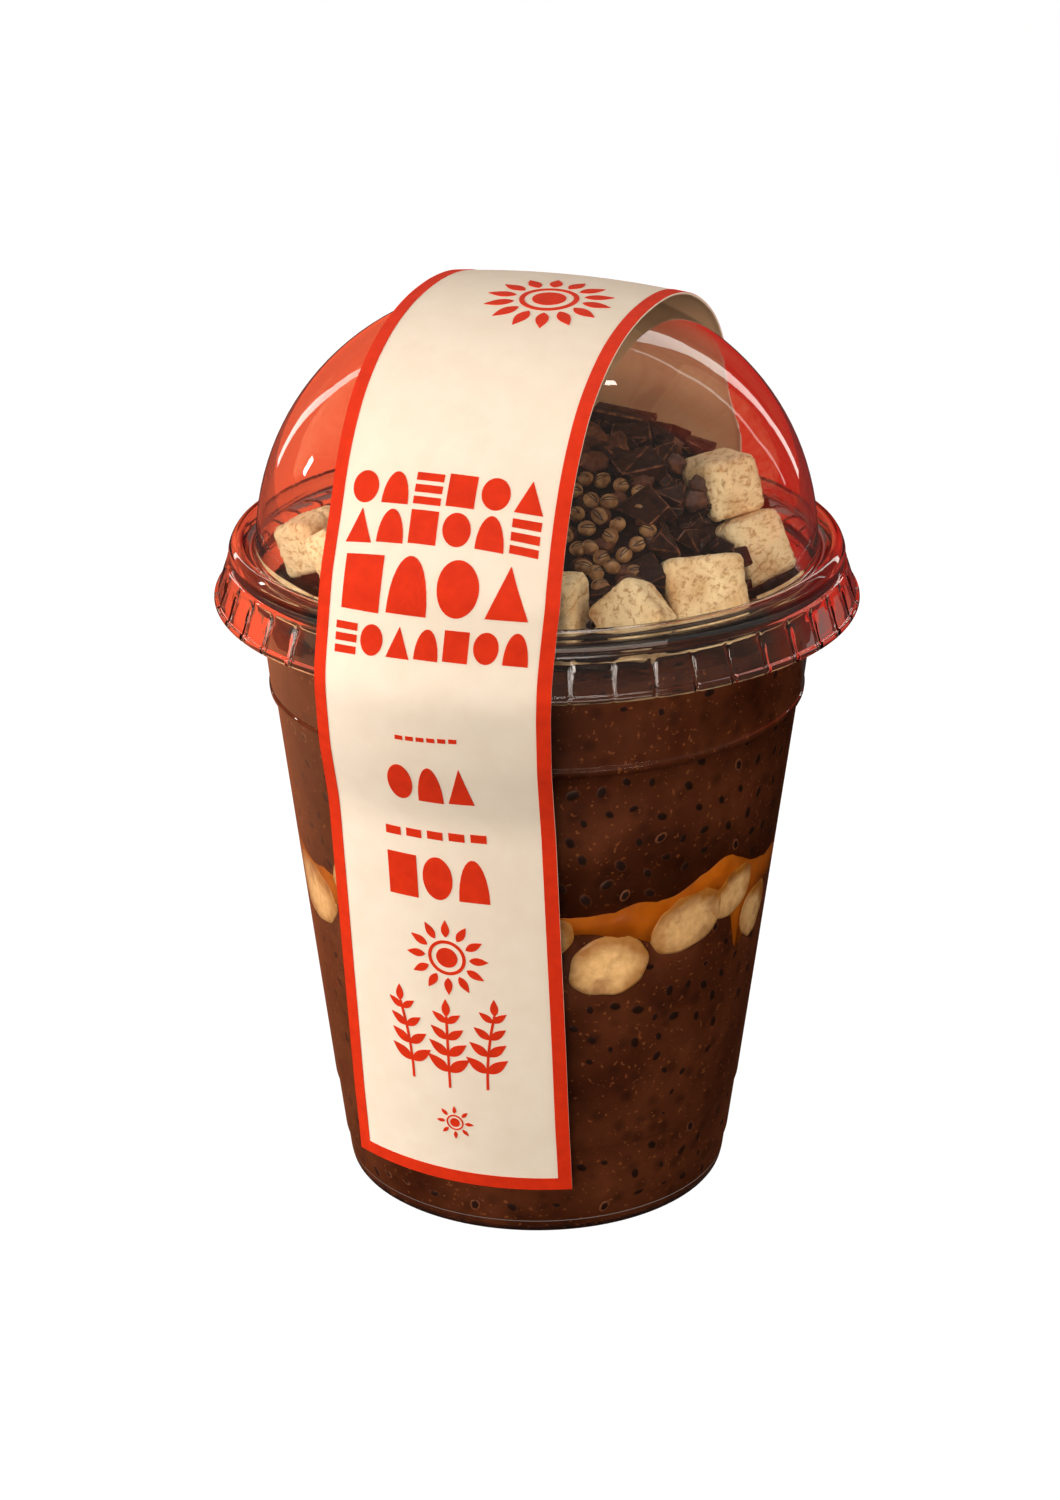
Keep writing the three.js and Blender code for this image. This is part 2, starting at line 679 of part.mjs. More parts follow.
function makeHeap() {
  const random = randomStream(21);
  const forChunk = (x, y) => inHeap(x, y, 0.93) && !inPearlPatch(x, y);
  const forPearl = (x, y) => inHeap(x, y, 0.93) && inPearlPatch(x, y);
  const chunkPlaces = scatter(random, CHUNK_SPACING, 900, forChunk);
  const pearlPlaces = scatter(random, PEARL_SIZE, 2500, forPearl);
  let heap = heapCore();
  chunkPlaces.forEach((place) => {
    heap = heap.add(chunkBody(place, random));
  });
  pearlPlaces.forEach((place) => {
    heap = heap.add(pearlBody(place, random));
  });
  return heap.subtract(cubePockets);
}

addPart('cup', makeCup(), clearPlastic());
addPart('pudding_lower', makeLowerPudding(), puddingFinish());
addPart('caramel_layer', makeCaramel(), caramelFinish());
addPart('pudding_upper', makeUpperPudding(cubePockets), puddingFinish());
SLICES.forEach((slice, index) => {
  addPart(`banana_slice_${slice.name}`, slices[index], freshBanana());
});
CUBES.forEach((cube, index) => {
  addPart(`banana_cube_${cube.name}`, cubeBody(cube, index, 0), driedBanana());
});
addPart('topping_heap', makeHeap(), chocolateFinish());
addPart('lid', makeLid(), clearPlastic());
addPart('label_band', makeBand(), paperFinish());

export default group;
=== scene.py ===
"""Looks of a chia pudding in a clear cup with a domed lid and a paper band.

The sizes are the part's own, in metres in the panel and in millimetres inside the functions.
Azimuth runs from -Y, where the band's printed side is, towards +X.
"""

import math
from types import SimpleNamespace

import bmesh
import bpy
import numpy as np
from bpy.props import FloatProperty, FloatVectorProperty, IntProperty, PointerProperty
from mathutils import Euler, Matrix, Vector, noise


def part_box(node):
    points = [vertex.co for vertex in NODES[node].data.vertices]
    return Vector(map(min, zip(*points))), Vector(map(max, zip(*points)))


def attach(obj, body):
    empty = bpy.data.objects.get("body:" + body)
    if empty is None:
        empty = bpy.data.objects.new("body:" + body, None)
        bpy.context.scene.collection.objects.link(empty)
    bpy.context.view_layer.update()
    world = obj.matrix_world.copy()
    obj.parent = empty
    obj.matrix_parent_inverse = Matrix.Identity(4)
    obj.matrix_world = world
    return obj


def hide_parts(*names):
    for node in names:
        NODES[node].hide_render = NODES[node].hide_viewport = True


bl_info = {
    "name": "Chia Pudding Cup",
    "version": (1, 0, 0),
    "blender": (4, 5, 0),
    "location": "3D View > Sidebar > Chia Cup",
    "description": "Builds a layered chia pudding in a clear lidded cup with a paper band",
    "category": "Object",
}

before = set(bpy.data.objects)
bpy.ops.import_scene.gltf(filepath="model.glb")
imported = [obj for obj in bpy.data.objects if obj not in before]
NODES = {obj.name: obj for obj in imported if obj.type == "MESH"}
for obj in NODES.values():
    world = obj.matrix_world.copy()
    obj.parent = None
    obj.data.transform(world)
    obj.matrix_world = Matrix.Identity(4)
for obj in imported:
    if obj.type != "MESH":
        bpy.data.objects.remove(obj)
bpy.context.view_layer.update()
MM = 0.001
TAU = 2 * math.pi


def srgb(code):
    """A hex colour as Blender's linear RGBA."""
    parts = [int(code[i:i + 2], 16) / 255 for i in (1, 3, 5)]
    line = [p / 12.92 if p <= 0.04045 else ((p + 0.055) / 1.055) ** 2.4 for p in parts]
    return (*line, 1.0)


def length(name, description, default):
    return FloatProperty(name=name, description=description, default=default, unit="LENGTH",
                         precision=5)


def colour(name, description, code):
    return FloatVectorProperty(name=name, description=description, default=srgb(code),
                               subtype="COLOR", size=4, min=0, max=1)


class CupSizes(bpy.types.PropertyGroup):
    wall: length("Wall", "Thickness of the cup's wall", 0.0005)
    base_radius: length("Base Radius", "Radius of the cone at the table", 0.026)
    taper: FloatProperty(name="Taper", description="Radius gained for each unit of height",
                         default=10.3 / 80)
    base_ring: length("Base Ring", "Height of the moulded ring near the foot", 0.0132)
    stack_step: length("Stack Step", "Height of the step that keeps nested cups apart", 0.0692)
    step_fade: length("Step Fade", "Height over which the step runs out", 0.012)
    foot_inner: length("Foot Inner", "Inner radius of the foot ring", 0.023)
    foot_outer: length("Foot Outer", "Outer radius of the foot ring", 0.0248)
    push_up: length("Push Up", "Rise of the base inside the foot ring", 0.0016)
    rim_outer: length("Rim Outer", "Outer radius of the rolled rim", 0.0392)
    rim_inner: length("Rim Inner", "Inner radius of the rolled rim", 0.0366)
    rim_bottom: length("Rim Bottom", "Height of the rim's lower edge", 0.0856)
    rim_top: length("Rim Top", "Height of the rim's upper edge", 0.0878)
    sides: IntProperty(name="Sides", description="Faces round the cup", default=168, min=24)


class LidSizes(bpy.types.PropertyGroup):
    wall: length("Wall", "Thickness of the lid", 0.0004)
    dome_radius: length("Dome Radius", "Radius of the dome at its foot", 0.03675)
    dome_foot: length("Dome Foot", "Height of the dome's foot", 0.0876)
    dome_rise: length("Dome Rise", "Height of the dome above its foot", 0.0348)
    dome_exponent: FloatProperty(name="Dome Exponent", default=2.12,
                                 description="2 is an ellipse, and more is squarer")
    rib_count: IntProperty(name="Rib Count", description="Darts pressed into the skirt",
                           default=48, min=1)
    rib_top: length("Rib Top", "Height of a dart's wide end", 0.0859)
    rib_tip: length("Rib Tip", "Height of a dart's point", 0.0827)
    rib_depth: length("Rib Depth", "How far a dart goes in", 0.0004)
    rib_width: length("Rib Width", "Half the width of a dart's wide end", 0.00078)


class BandSizes(bpy.types.PropertyGroup):
    half_width: length("Half Width", "Half the width of the paper band", 0.0156)
    thickness: length("Thickness", "Thickness of the paper", 0.0003)
    gap: length("Gap", "Gap between the band and the wall", 0.00035)
    top: length("Top", "Height of the band over the dome", 0.123)
    border: length("Border", "Width of the printed border", 0.0018)


class FoodSizes(bpy.types.PropertyGroup):
    caramel_floor: length("Caramel Floor", "Height of the caramel's lower edge", 0.045)
    caramel_ceiling: length("Caramel Ceiling", "Height of the caramel's upper edge", 0.0487)
    pudding_top: length("Pudding Top", "Height of the pudding", 0.0808)
    meniscus: length("Meniscus", "Creep of the pudding up the wall", 0.0011)
    heap_floor: length("Heap Floor", "Height where the toppings start", 0.0811)
    heap_height: length("Heap Height", "Rise of the heap of toppings", 0.018)
    heap_half_width: length("Heap Half Width", "Reach of the heap to the sides", 0.03)
    heap_crest: length("Heap Crest", "Distance of the crest behind the axis", 0.011)
    heap_front: length("Heap Front", "Reach of the heap in front of the crest", 0.035)
    heap_back: length("Heap Back", "Reach of the heap behind the crest", 0.017)
    seed_length: length("Seed Length", "Length of a soaked chia seed", 0.0023)
    seed_spacing: length("Seed Spacing", "Least distance between seeds", 0.003)
    slice_depth: length("Slice Depth", "Thickness of a banana slice", 0.0065)


class Finishes(bpy.types.PropertyGroup):
    pudding: colour("Pudding", "Chocolate chia pudding", "#4f2814")
    pudding_light: colour("Pudding Light", "Milky patches in the pudding", "#6a3820")
    seed: colour("Seed", "Soaked chia seed", "#1c0d08")
    caramel: colour("Caramel", "Date caramel", "#bb6410")
    banana: colour("Banana", "Middle of a banana slice", "#f6d398")
    banana_edge: colour("Banana Edge", "Browned edge of a banana slice", "#a86c22")
    dried: colour("Dried Banana", "Crisp banana cube", "#fce1ad")
    dried_dark: colour("Dried Banana Dark", "Toasted flecks on a cube", "#c08238")
    chocolate: colour("Chocolate", "Dark chocolate", "#33190d")
    # Paler colour of the broken edges: partly their own tone, partly a painted highlight
    chocolate_edge_highlight: colour("Chocolate Edge", "Broken edge of a piece", "#7a4a30")
    crisp: colour("Crisp", "Cocoa crisp", "#5d3219")
    pearl: colour("Pearl", "Pale coffee pearl", "#a87e50")
    paper: colour("Paper", "Uncoated cream paper", "#ede0cd")
    # Painted shade: the band's inner side is painted darker, as in shade
    paper_back_shade: colour("Paper Back", "Back of the paper in shade", "#c9a07c")
    ink: colour("Ink", "Red ink", "#d9300a")


def sizes(group):
    """A group's lengths in millimetres and its other values as they are."""
    values = {}
    for name, item in group.bl_rna.properties.items():
        if name in ("rna_type", "name"):
            continue
        value = getattr(group, name)
        values[name] = value / MM if item.unit == "LENGTH" else value
    return SimpleNamespace(**values)


def add_node(tree, kind, inputs=None, **settings):
    """One node; each input is given a value or another node's output socket."""
    node = tree.nodes.new(kind)
    for key, value in settings.items():
        setattr(node, key, value)
    for key, value in (inputs or {}).items():
        if isinstance(value, bpy.types.NodeSocket):
            tree.links.new(value, node.inputs[key])
        else:
            node.inputs[key].default_value = value
    return node


def surface(name, note, **inputs):
    """A material with one Principled shader, and a note on what the real material is."""
    material = bpy.data.materials.new(name)
    material.use_nodes = True
    material["note"] = note
    tree = material.node_tree
    tree.nodes.clear()
    shader = add_node(tree, "ShaderNodeBsdfPrincipled", {
        key.replace("_", " ").title().replace("Ior", "IOR"): value
        for key, value in inputs.items()})
    add_node(tree, "ShaderNodeOutputMaterial", {"Surface": shader.outputs[0]})
    return material, tree, shader


def noise_texture(tree, place, scale, detail=3.0, roughness=0.55, distortion=0.0):
    return add_node(tree, "ShaderNodeTexNoise", {
        "Vector": place, "Scale": scale, "Detail": detail, "Roughness": roughness,
        "Distortion": distortion}).outputs["Fac"]


def ramp(tree, factor, stops):
    """A colour ramp from a list of (position, linear colour)."""
    node = add_node(tree, "ShaderNodeValToRGB", {"Fac": factor})
    band = node.color_ramp.elements
    while len(band) < len(stops):
        band.new(0.5)
    for element, (position, tint) in zip(band, stops):
        element.position = position
        element.color = tint
    return node.outputs["Color"]


def mix_colour(tree, factor, first, second, blend="MIX"):
    node = add_node(tree, "ShaderNodeMix", data_type="RGBA", blend_type=blend)
    for index, value in ((0, factor), (6, first), (7, second)):
        if isinstance(value, bpy.types.NodeSocket):
            tree.links.new(value, node.inputs[index])
        else:
            node.inputs[index].default_value = value
    return node.outputs[2]


def bump(tree, shader, height, strength, distance):
    node = add_node(tree, "ShaderNodeBump", {
        "Height": height, "Strength": strength, "Distance": distance})
    tree.links.new(node.outputs[0], shader.inputs["Normal"])


def object_place(tree):
    return add_node(tree, "ShaderNodeTexCoord").outputs["Object"]


def attribute_factor(tree, name):
    return add_node(tree, "ShaderNodeAttribute", attribute_name=name).outputs["Fac"]


def mesh_object(name, points, faces, material, smooth=True):
    """An object at the origin from points in millimetres."""
    mesh = bpy.data.meshes.new(name)
    mesh.from_pydata((np.asarray(points, float) * MM).tolist(), [], faces)
    mesh.polygons.foreach_set("use_smooth", [smooth] * len(mesh.polygons))
    if material is not None:
        mesh.materials.append(material)
    mesh.update()
    piece = bpy.data.objects.new(name, mesh)
    bpy.context.scene.collection.objects.link(piece)
    return piece


def store_factor(piece, name, values, domain="POINT"):
    layer = piece.data.attributes.new(name, "FLOAT", domain)
    layer.data.foreach_set("value", np.asarray(values, np.float32))


def finish_piece(piece, slot, *nodes):
    """The piece rides on the body and stands for the nodes, which are hidden; the slot is not used.
    """
    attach(piece, "root")
    if nodes:
        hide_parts(*nodes)
    return piece


def grid_faces(rows, columns, wrap_rows=False, wrap_columns=False):
    """Quads of a grid of points whose index is row * columns + column."""
    faces = []
    for i in range(rows if wrap_rows else rows - 1):
        for k in range(columns if wrap_columns else columns - 1):
            here, above = i * columns, ((i + 1) % rows) * columns
            right = (k + 1) % columns
            faces.append((here + k, here + right, above + right, above + k))
    return faces


def around(radius, azimuth, height):
    """Points from radius, azimuth in radians and height."""
    return np.stack(np.broadcast_arrays(
        radius * np.sin(azimuth), -radius * np.cos(azimuth), height), -1)


CORNER_SHARE = 0.45


def rounded(profile, radius, steps=3):
    """The profile with each corner turned into a small arc, at most 0.45 of a side long."""
    profile = [np.array(p, float) for p in profile]
    points = [profile[0]]
    for before, corner, after in zip(profile, profile[1:], profile[2:]):
        back, ahead = before - corner, after - corner
        reach = min(radius, np.linalg.norm(back) * CORNER_SHARE,
                    np.linalg.norm(ahead) * CORNER_SHARE)
        start = corner + back / np.linalg.norm(back) * reach
        end = corner + ahead / np.linalg.norm(ahead) * reach
        for t in np.linspace(0, 1, steps + 1):
            points.append((1 - t) ** 2 * start + 2 * t * (1 - t) * corner + t ** 2 * end)
    points.append(profile[-1])
    return np.array(points)


def lathe(name, rows, sides, material):
    """A closed body from rows of (radius, height); rows may be (rows, 2) or differ by side.

    The first and last rows on the axis are joined to one point each. Sides is their number or
    the azimuth of each in radians.
    """
    rows = np.asarray(rows, float)
    turn = np.arange(sides) * TAU / sides if np.isscalar(sides) else sides
    sides = len(turn)
    if rows.ndim == 2:
        rows = np.repeat(rows[:, None, :], sides, 1)
    middle = rows[1:-1] if rows[0, 0, 0] == 0 else rows
    points = around(middle[..., 0], turn[None, :], middle[..., 1]).reshape(-1, 3)
    count = len(middle)
    wraps = rows[0, 0, 0] != 0
    faces = grid_faces(count, sides, wrap_rows=wraps, wrap_columns=True)
    if not wraps:
        low, high = len(points), len(points) + 1
        ends = [[0, 0, rows[0, 0, 1]], [0, 0, rows[-1, 0, 1]]]
        points = np.vstack([points, ends])
        top = (count - 1) * sides
        for k in range(sides):
            right = (k + 1) % sides
            faces.append((low, right, k))
            faces.append((high, top + k, top + right))
    return mesh_object(name, points, faces, material)


def baked(piece, name):
    """The piece with its modifiers worked out, as a plain mesh object."""
    evaluated = piece.evaluated_get(bpy.context.evaluated_depsgraph_get())
    mesh = bpy.data.meshes.new_from_object(evaluated)
    mesh.name = name
    plain = bpy.data.objects.new(name, mesh)
    bpy.context.scene.collection.objects.link(plain)
    bpy.data.objects.remove(piece)
    plain.name = name
    return plain


def node_group(name, inputs):
    """An empty Geometry Nodes tree with a geometry input and output and the named inputs."""
    tree = bpy.data.node_groups.new(name, "GeometryNodeTree")
    tree.interface.new_socket("Geometry", in_out="INPUT", socket_type="NodeSocketGeometry")
    tree.interface.new_socket("Geometry", in_out="OUTPUT", socket_type="NodeSocketGeometry")
    for label, kind in inputs:
        tree.interface.new_socket(label, in_out="INPUT", socket_type="NodeSocket" + kind)
    return tree, add_node(tree, "NodeGroupInput").outputs


def with_nodes(piece, tree, **values):
    """The piece's mesh after the tree, with the tree's inputs set by their identifiers."""
    modifier = piece.modifiers.new(tree.name, "NODES")
    modifier.node_group = tree
    names = {item.name: item.identifier for item in tree.interface.items_tree
             if item.item_type == "SOCKET" and item.in_out == "INPUT"}
    for label, value in values.items():
        modifier[names[label.replace("_", " ").title()]] = value
    return baked(piece, piece.name)


def maths(tree, operation, *values):
    return add_node(tree, "ShaderNodeMath", dict(enumerate(values)),
                    operation=operation).outputs[0]


def end_tree(tree, geometry, material):
    """Realize Instances, Set Material and the output."""
    real = add_node(tree, "GeometryNodeRealizeInstances", {"Geometry": geometry})
    painted = add_node(tree, "GeometryNodeSetMaterial", {
        "Geometry": real.outputs[0], "Material": material})
    add_node(tree, "NodeGroupOutput", {"Geometry": painted.outputs[0]})


def clear_plastic():
    """Clear PET, thermoformed, with a faint haze."""
    return surface("Clear PET", "thermoformed clear cup plastic", base_color=srgb("#fbfbfa"),
                   transmission_weight=1.0, roughness=0.02, ior=1.5)[0]


def cup_radius(cup, z):
    """Outer radius of the tapered wall, with its moulded rings."""
    z = np.asarray(z, float)
    rise = 0.08 - 0.28 * (z - cup.base_ring) / (cup.stack_step - cup.base_ring)
    above = 0.25 * np.maximum(0, 1 - (z - cup.stack_step) / cup.step_fade)
    ring = np.clip((z - cup.base_ring + 0.3) / 0.6, 0, 1)
    step = np.clip((z - cup.stack_step + 0.3) / 0.6, 0, 1)
    low = -0.12 * (1 - ring) + rise * ring - 0.2 * np.clip((5.0 - z) / 0.5, 0, 1)
    ridge = 0.2 * step * np.clip((cup.stack_step + 1.2 - z) / 0.25, 0, 1)
    return cup.base_radius + cup.taper * z + low * (1 - step) + above * step + ridge


def wall_heights(cup):
    """Heights that the wall's rows need, close together at the rings."""
    rings = [h + d for h in (cup.base_ring, cup.stack_step) for d in (-0.3, -0.1, 0.1, 0.3)]
    plain = np.linspace(cup.base_ring + 4, cup.stack_step - 4, 9)
    ridge = [cup.stack_step + d for d in (0.7, 0.95, 1.2)]
    return sorted([1.6, 4.5, 5.0, 8.0, *rings, *plain, *ridge, 73.0, 77.0, 81.2])


def food_radius(cup, z, into_wall):
    """Radius of the food where it lies against the inside of the wall."""
    return cup_radius(cup, z) - cup.wall + into_wall


def make_cup(cup):
    wall = [(float(cup_radius(cup, z)), z) for z in wall_heights(cup)]
    outer = [(0, cup.push_up), (cup.foot_inner - 0.9, cup.push_up), (cup.foot_inner, 0),
             (cup.foot_outer, 0), (25.6, 0.5), *wall,
             (float(cup_radius(cup, cup.rim_bottom)) - 0.2, cup.rim_bottom - 0.2),
             (cup.rim_outer - 0.1, cup.rim_bottom), (cup.rim_outer, cup.rim_top - 0.6),
             (cup.rim_outer - 0.6, cup.rim_top), (cup.rim_inner + 0.6, cup.rim_top)]
    inner = [(cup.rim_inner, cup.rim_top - 0.6),
             *[(radius - cup.wall, z) for radius, z in reversed(wall[1:])],
             (25.3, 1.8), (cup.foot_outer - 0.1, 0.7), (cup.foot_inner + 0.4, 0.7),
             (cup.foot_inner - 0.6, cup.push_up + 0.7), (0, cup.push_up + 0.7)]
    profile = rounded(outer + inner, 0.5)
    cup_piece = lathe("clear_cup", profile, cup.sides, clear_plastic())
    cup_piece.visible_shadow = False
    return finish_piece(cup_piece, "clear_plastic", "cup")


def dome_profile(lid, inset, steps):
    elevation = np.radians(np.linspace(90, 2.2, steps))
    power = 2 / lid.dome_exponent
    radius = (lid.dome_radius - inset) * np.maximum(np.cos(elevation), 0) ** power
    height = lid.dome_foot + (lid.dome_rise - inset) * np.sin(elevation) ** power
    radius[0] = 0
    return list(zip(radius, height))


# The darts are pressed only outside this radius, in metres
SKIRT_INNER = 0.0396


def rib_tree(material):
    """Presses darts into the skirt: wide at the top and pointed below."""
    tree, given = node_group("Skirt Darts", [
        ("Count", "Int"), ("Top", "Float"), ("Tip", "Float"), ("Depth", "Float"),
        ("Half Width", "Float")])
    place = add_node(tree, "GeometryNodeInputPosition").outputs[0]
    axes = add_node(tree, "ShaderNodeSeparateXYZ", {0: place}).outputs
    x, y, z = axes[0], axes[1], axes[2]
    radius = maths(tree, "SQRT", maths(tree, "ADD", maths(tree, "MULTIPLY", x, x),
                                       maths(tree, "MULTIPLY", y, y)))
    turn = maths(tree, "ARCTAN2", y, x)
    pitch = maths(tree, "DIVIDE", TAU, given["Count"])
    from_line = maths(tree, "SUBTRACT", maths(tree, "FRACT", maths(
        tree, "DIVIDE", turn, pitch)), 0.5)
    across = maths(tree, "ABSOLUTE", maths(tree, "MULTIPLY", maths(
        tree, "MULTIPLY", from_line, pitch), radius))
    climb = add_node(tree, "ShaderNodeMapRange", {
        "Value": z, "From Min": given["Tip"], "From Max": given["Top"]}).outputs[0]
    half = maths(tree, "MAXIMUM", maths(tree, "MULTIPLY", climb, given["Half Width"]), 1e-5)
    share = maths(tree, "MAXIMUM", maths(tree, "SUBTRACT", 1, maths(
        tree, "DIVIDE", across, half)), 0)
    below_top = maths(tree, "LESS_THAN", z, given["Top"])
    outside = maths(tree, "GREATER_THAN", radius, SKIRT_INNER)
    push = maths(tree, "MULTIPLY", maths(tree, "MULTIPLY", maths(
        tree, "MULTIPLY", share, given["Depth"]), below_top), outside)
    way = add_node(tree, "ShaderNodeVectorMath", {0: add_node(
        tree, "ShaderNodeCombineXYZ", {0: x, 1: y}).outputs[0]}, operation="NORMALIZE")
    offset = add_node(tree, "ShaderNodeVectorMath", {0: way.outputs[0], "Scale": push},
                      operation="SCALE")
    moved = add_node(tree, "GeometryNodeSetPosition", {
        "Geometry": given["Geometry"], "Offset": offset.outputs[0]})
    end_tree(tree, moved.outputs[0], material)
    return tree


def make_lid(lid):
    plastic = clear_plastic()
    skirt_outer = [(37.0, 88.7), (37.45, 88.6), (37.9, 89.2), (38.4, 89.9), (39.0, 90.2),
                   (39.55, 89.95), (39.95, 89.3), (40.25, 88.5), (40.2, 87.6), (40.12, 87.15),
                   (40.5, 86.9), (40.62, 86.3)]
    darts = np.linspace(lid.rib_top - 0.05, lid.rib_tip, 9)
    skirt_line = [(float(np.interp(z, [82.2, 86.6], [42.0, 40.55])), z) for z in darts]
    lip = [(41.85, 82.6), (42.22, 82.5), (42.32, 82.0), (42.05, 81.5), (41.6, 81.5),
           (41.45, 82.3)]
    inner_line = [(radius - 0.45, z) for radius, z in reversed(skirt_line)]
    dome, lining = dome_profile(lid, 0, 34), dome_profile(lid, lid.wall, 34)[::-1]
    outer = rounded(dome[-2:] + skirt_outer, 0.25)
    inner = rounded([(40.17, 86.3), (39.85, 87.1), (39.75, 88.4), (39.55, 89.1), (39.2, 89.6),
                     (38.95, 89.75), (38.65, 89.6), (38.2, 88.9), (37.75, 88.2), (37.2, 88.1)]
                    + lining[:2], 0.25)
    profile = np.vstack([dome[:-2], outer, skirt_line, rounded(lip, 0.3), inner_line, inner,
                         lining[2:]])
    offsets = np.array([0, 0.2, 0.36, 0.405, 0.45, 0.5, 0.55, 0.595, 0.64, 0.8])
    turn = ((np.arange(lid.rib_count)[:, None] + offsets) * TAU / lid.rib_count).ravel()
    body = lathe("lid_body", profile[::-1], turn, None)
    body = with_nodes(body, rib_tree(plastic), count=lid.rib_count, top=lid.rib_top * MM,
                      tip=lid.rib_tip * MM, depth=-lid.rib_depth * MM,
                      half_width=lid.rib_width * MM)
    body.name = "clear_lid"
    body.visible_shadow = False
    return finish_piece(body, "clear_plastic", "lid")


# Waves of the caramel's edges: azimuth and spread in degrees, rise in millimetres
CARAMEL_TOP_WAVES = [(43, 1.0, 6), (69, 4.0, 13), (-60, 0.9, 9), (120, 1.6, 16), (-150, 2.0, 18)]
CARAMEL_FLOOR_WAVES = [(32, 1.5, 6), (48.5, -1.4, 3.5), (66, 3.0, 7), (79.5, -7.5, 4.5),
                       (-42, -2.2, 6), (148, -3.5, 6), (-98, -2.5, 7)]


def wave_at(azimuth, waves):
    """Rise of a wavy edge over its level at an azimuth in radians."""
    degrees = np.degrees(azimuth)
    total = np.zeros_like(degrees)
    for at, rise, spread in waves:
        apart = (degrees - at + 540) % 360 - 180
        total += rise * np.exp(-((apart / spread) ** 2))
    return total


def ripple(azimuth, seed, depth):
    """Small uneven rises that keep an edge from looking drawn."""
    draw = np.random.default_rng(seed)
    total = np.zeros_like(azimuth)
    for turns in (17, 29, 43, 71, 103):
        total += np.sin(azimuth * turns + draw.uniform(0, TAU)) * depth * 14 / turns
    return total


def settled(share, wave):
    """A wave shows at the wall and settles to level further in."""
    t = np.clip((share - 0.62) / 0.38, 0, 1)
    return wave * t * t * (3 - 2 * t)


FOOD_SIDES = 240
FOOD_TURN = np.arange(FOOD_SIDES) * TAU / FOOD_SIDES
# How far the food reaches into the wall, so that no gap shows
PUDDING_INTO_WALL, CARAMEL_INTO_WALL = 0.1, 0.22


def food_rows(cup, heights, into_wall):
    return [np.stack([food_radius(cup, z, into_wall), z], -1) for z in heights]


def edge_rows(cup, level, wave, into_wall, shares):
    """Rows from the wall inwards whose height follows the wave."""
    rows = []
    for share in shares:
        height = level + settled(share, wave)
        rows.append(np.stack([share * food_radius(cup, height, into_wall), height], -1))
    return rows


def caramel_edges():
    """Rise of the caramel's lower and upper edge at each side."""
    low = wave_at(FOOD_TURN, CARAMEL_FLOOR_WAVES) + ripple(FOOD_TURN, 3, 0.22)
    high = wave_at(FOOD_TURN, CARAMEL_TOP_WAVES) + ripple(FOOD_TURN, 4, 0.22)
    return low, high


def flat_row(radius, height):
    return np.repeat(np.array([[radius, height]], float), FOOD_SIDES, 0)


def wall_rows(cup, heights):
    """Level rows of pudding against the wall."""
    return food_rows(cup, [np.full(FOOD_SIDES, z) for z in heights], PUDDING_INTO_WALL)


def pudding_finish(look):
    """Chia pudding: mottled cocoa gel with soft seeds and milky flecks."""
    material, tree, shader = surface("Chocolate Chia Pudding", "set seed pudding",
                                     roughness=0.42, specular_ior_level=0.06)
    place = object_place(tree)
    mottle = noise_texture(tree, place, 420, 4)
    broad = noise_texture(tree, place, 70, 2)
    base = mix_colour(tree, mottle, look.pudding, look.pudding_light)
    shade = ramp(tree, broad, [(0.3, srgb("#a39188")), (0.7, srgb("#ffffff"))])
    base = mix_colour(tree, 1.0, base, shade, "MULTIPLY")
    cells = add_node(tree, "ShaderNodeTexVoronoi", {
        "Vector": place, "Scale": 330, "Randomness": 1.0}).outputs["Distance"]
    spot = ramp(tree, cells, [(0.12, srgb("#ffffff")), (0.42, srgb("#000000"))])
    seen = maths(tree, "MULTIPLY", spot, 0.45)
    base = mix_colour(tree, seen, base, look.seed)
    flecks = noise_texture(tree, place, 1500, 1)
    pale = maths(tree, "MULTIPLY", ramp(tree, flecks, [
        (0.66, srgb("#000000")), (0.72, srgb("#ffffff"))]), 0.3)
    base = mix_colour(tree, pale, base, srgb("#b0683a"))
    tree.links.new(base, shader.inputs["Base Color"])
    bump(tree, shader, mottle, 0.2, 0.0004)
    return material


def seed_finish(look):
    """Soaked chia seed: dark in the middle and fading into the pudding."""
    material, tree, shader = surface("Soaked Chia Seed", "chia seed in its gel", roughness=0.35,
                                     specular_ior_level=0.15)
    middle = attribute_factor(tree, "middle")
    ring = attribute_factor(tree, "gel")
    dark = ramp(tree, middle, [(0.2, look.pudding), (0.45, look.seed)])
    gel = ramp(tree, middle, [(0.2, look.pudding), (0.3, srgb("#7c4c30")),
                              (0.38, srgb("#5f3420")), (0.5, look.seed)])
    tree.links.new(mix_colour(tree, ring, dark, gel), shader.inputs["Base Color"])
    return material


def random_float(tree, low, high, seed):
    """A random number for each point."""
    node = add_node(tree, "FunctionNodeRandomValue", {"Seed": seed}, data_type="FLOAT")
    for socket in node.inputs:
        if socket.type == "VALUE" and socket.name in ("Min", "Max"):
            socket.default_value = {"Min": low, "Max": high}[socket.name]
    return node.outputs[1]


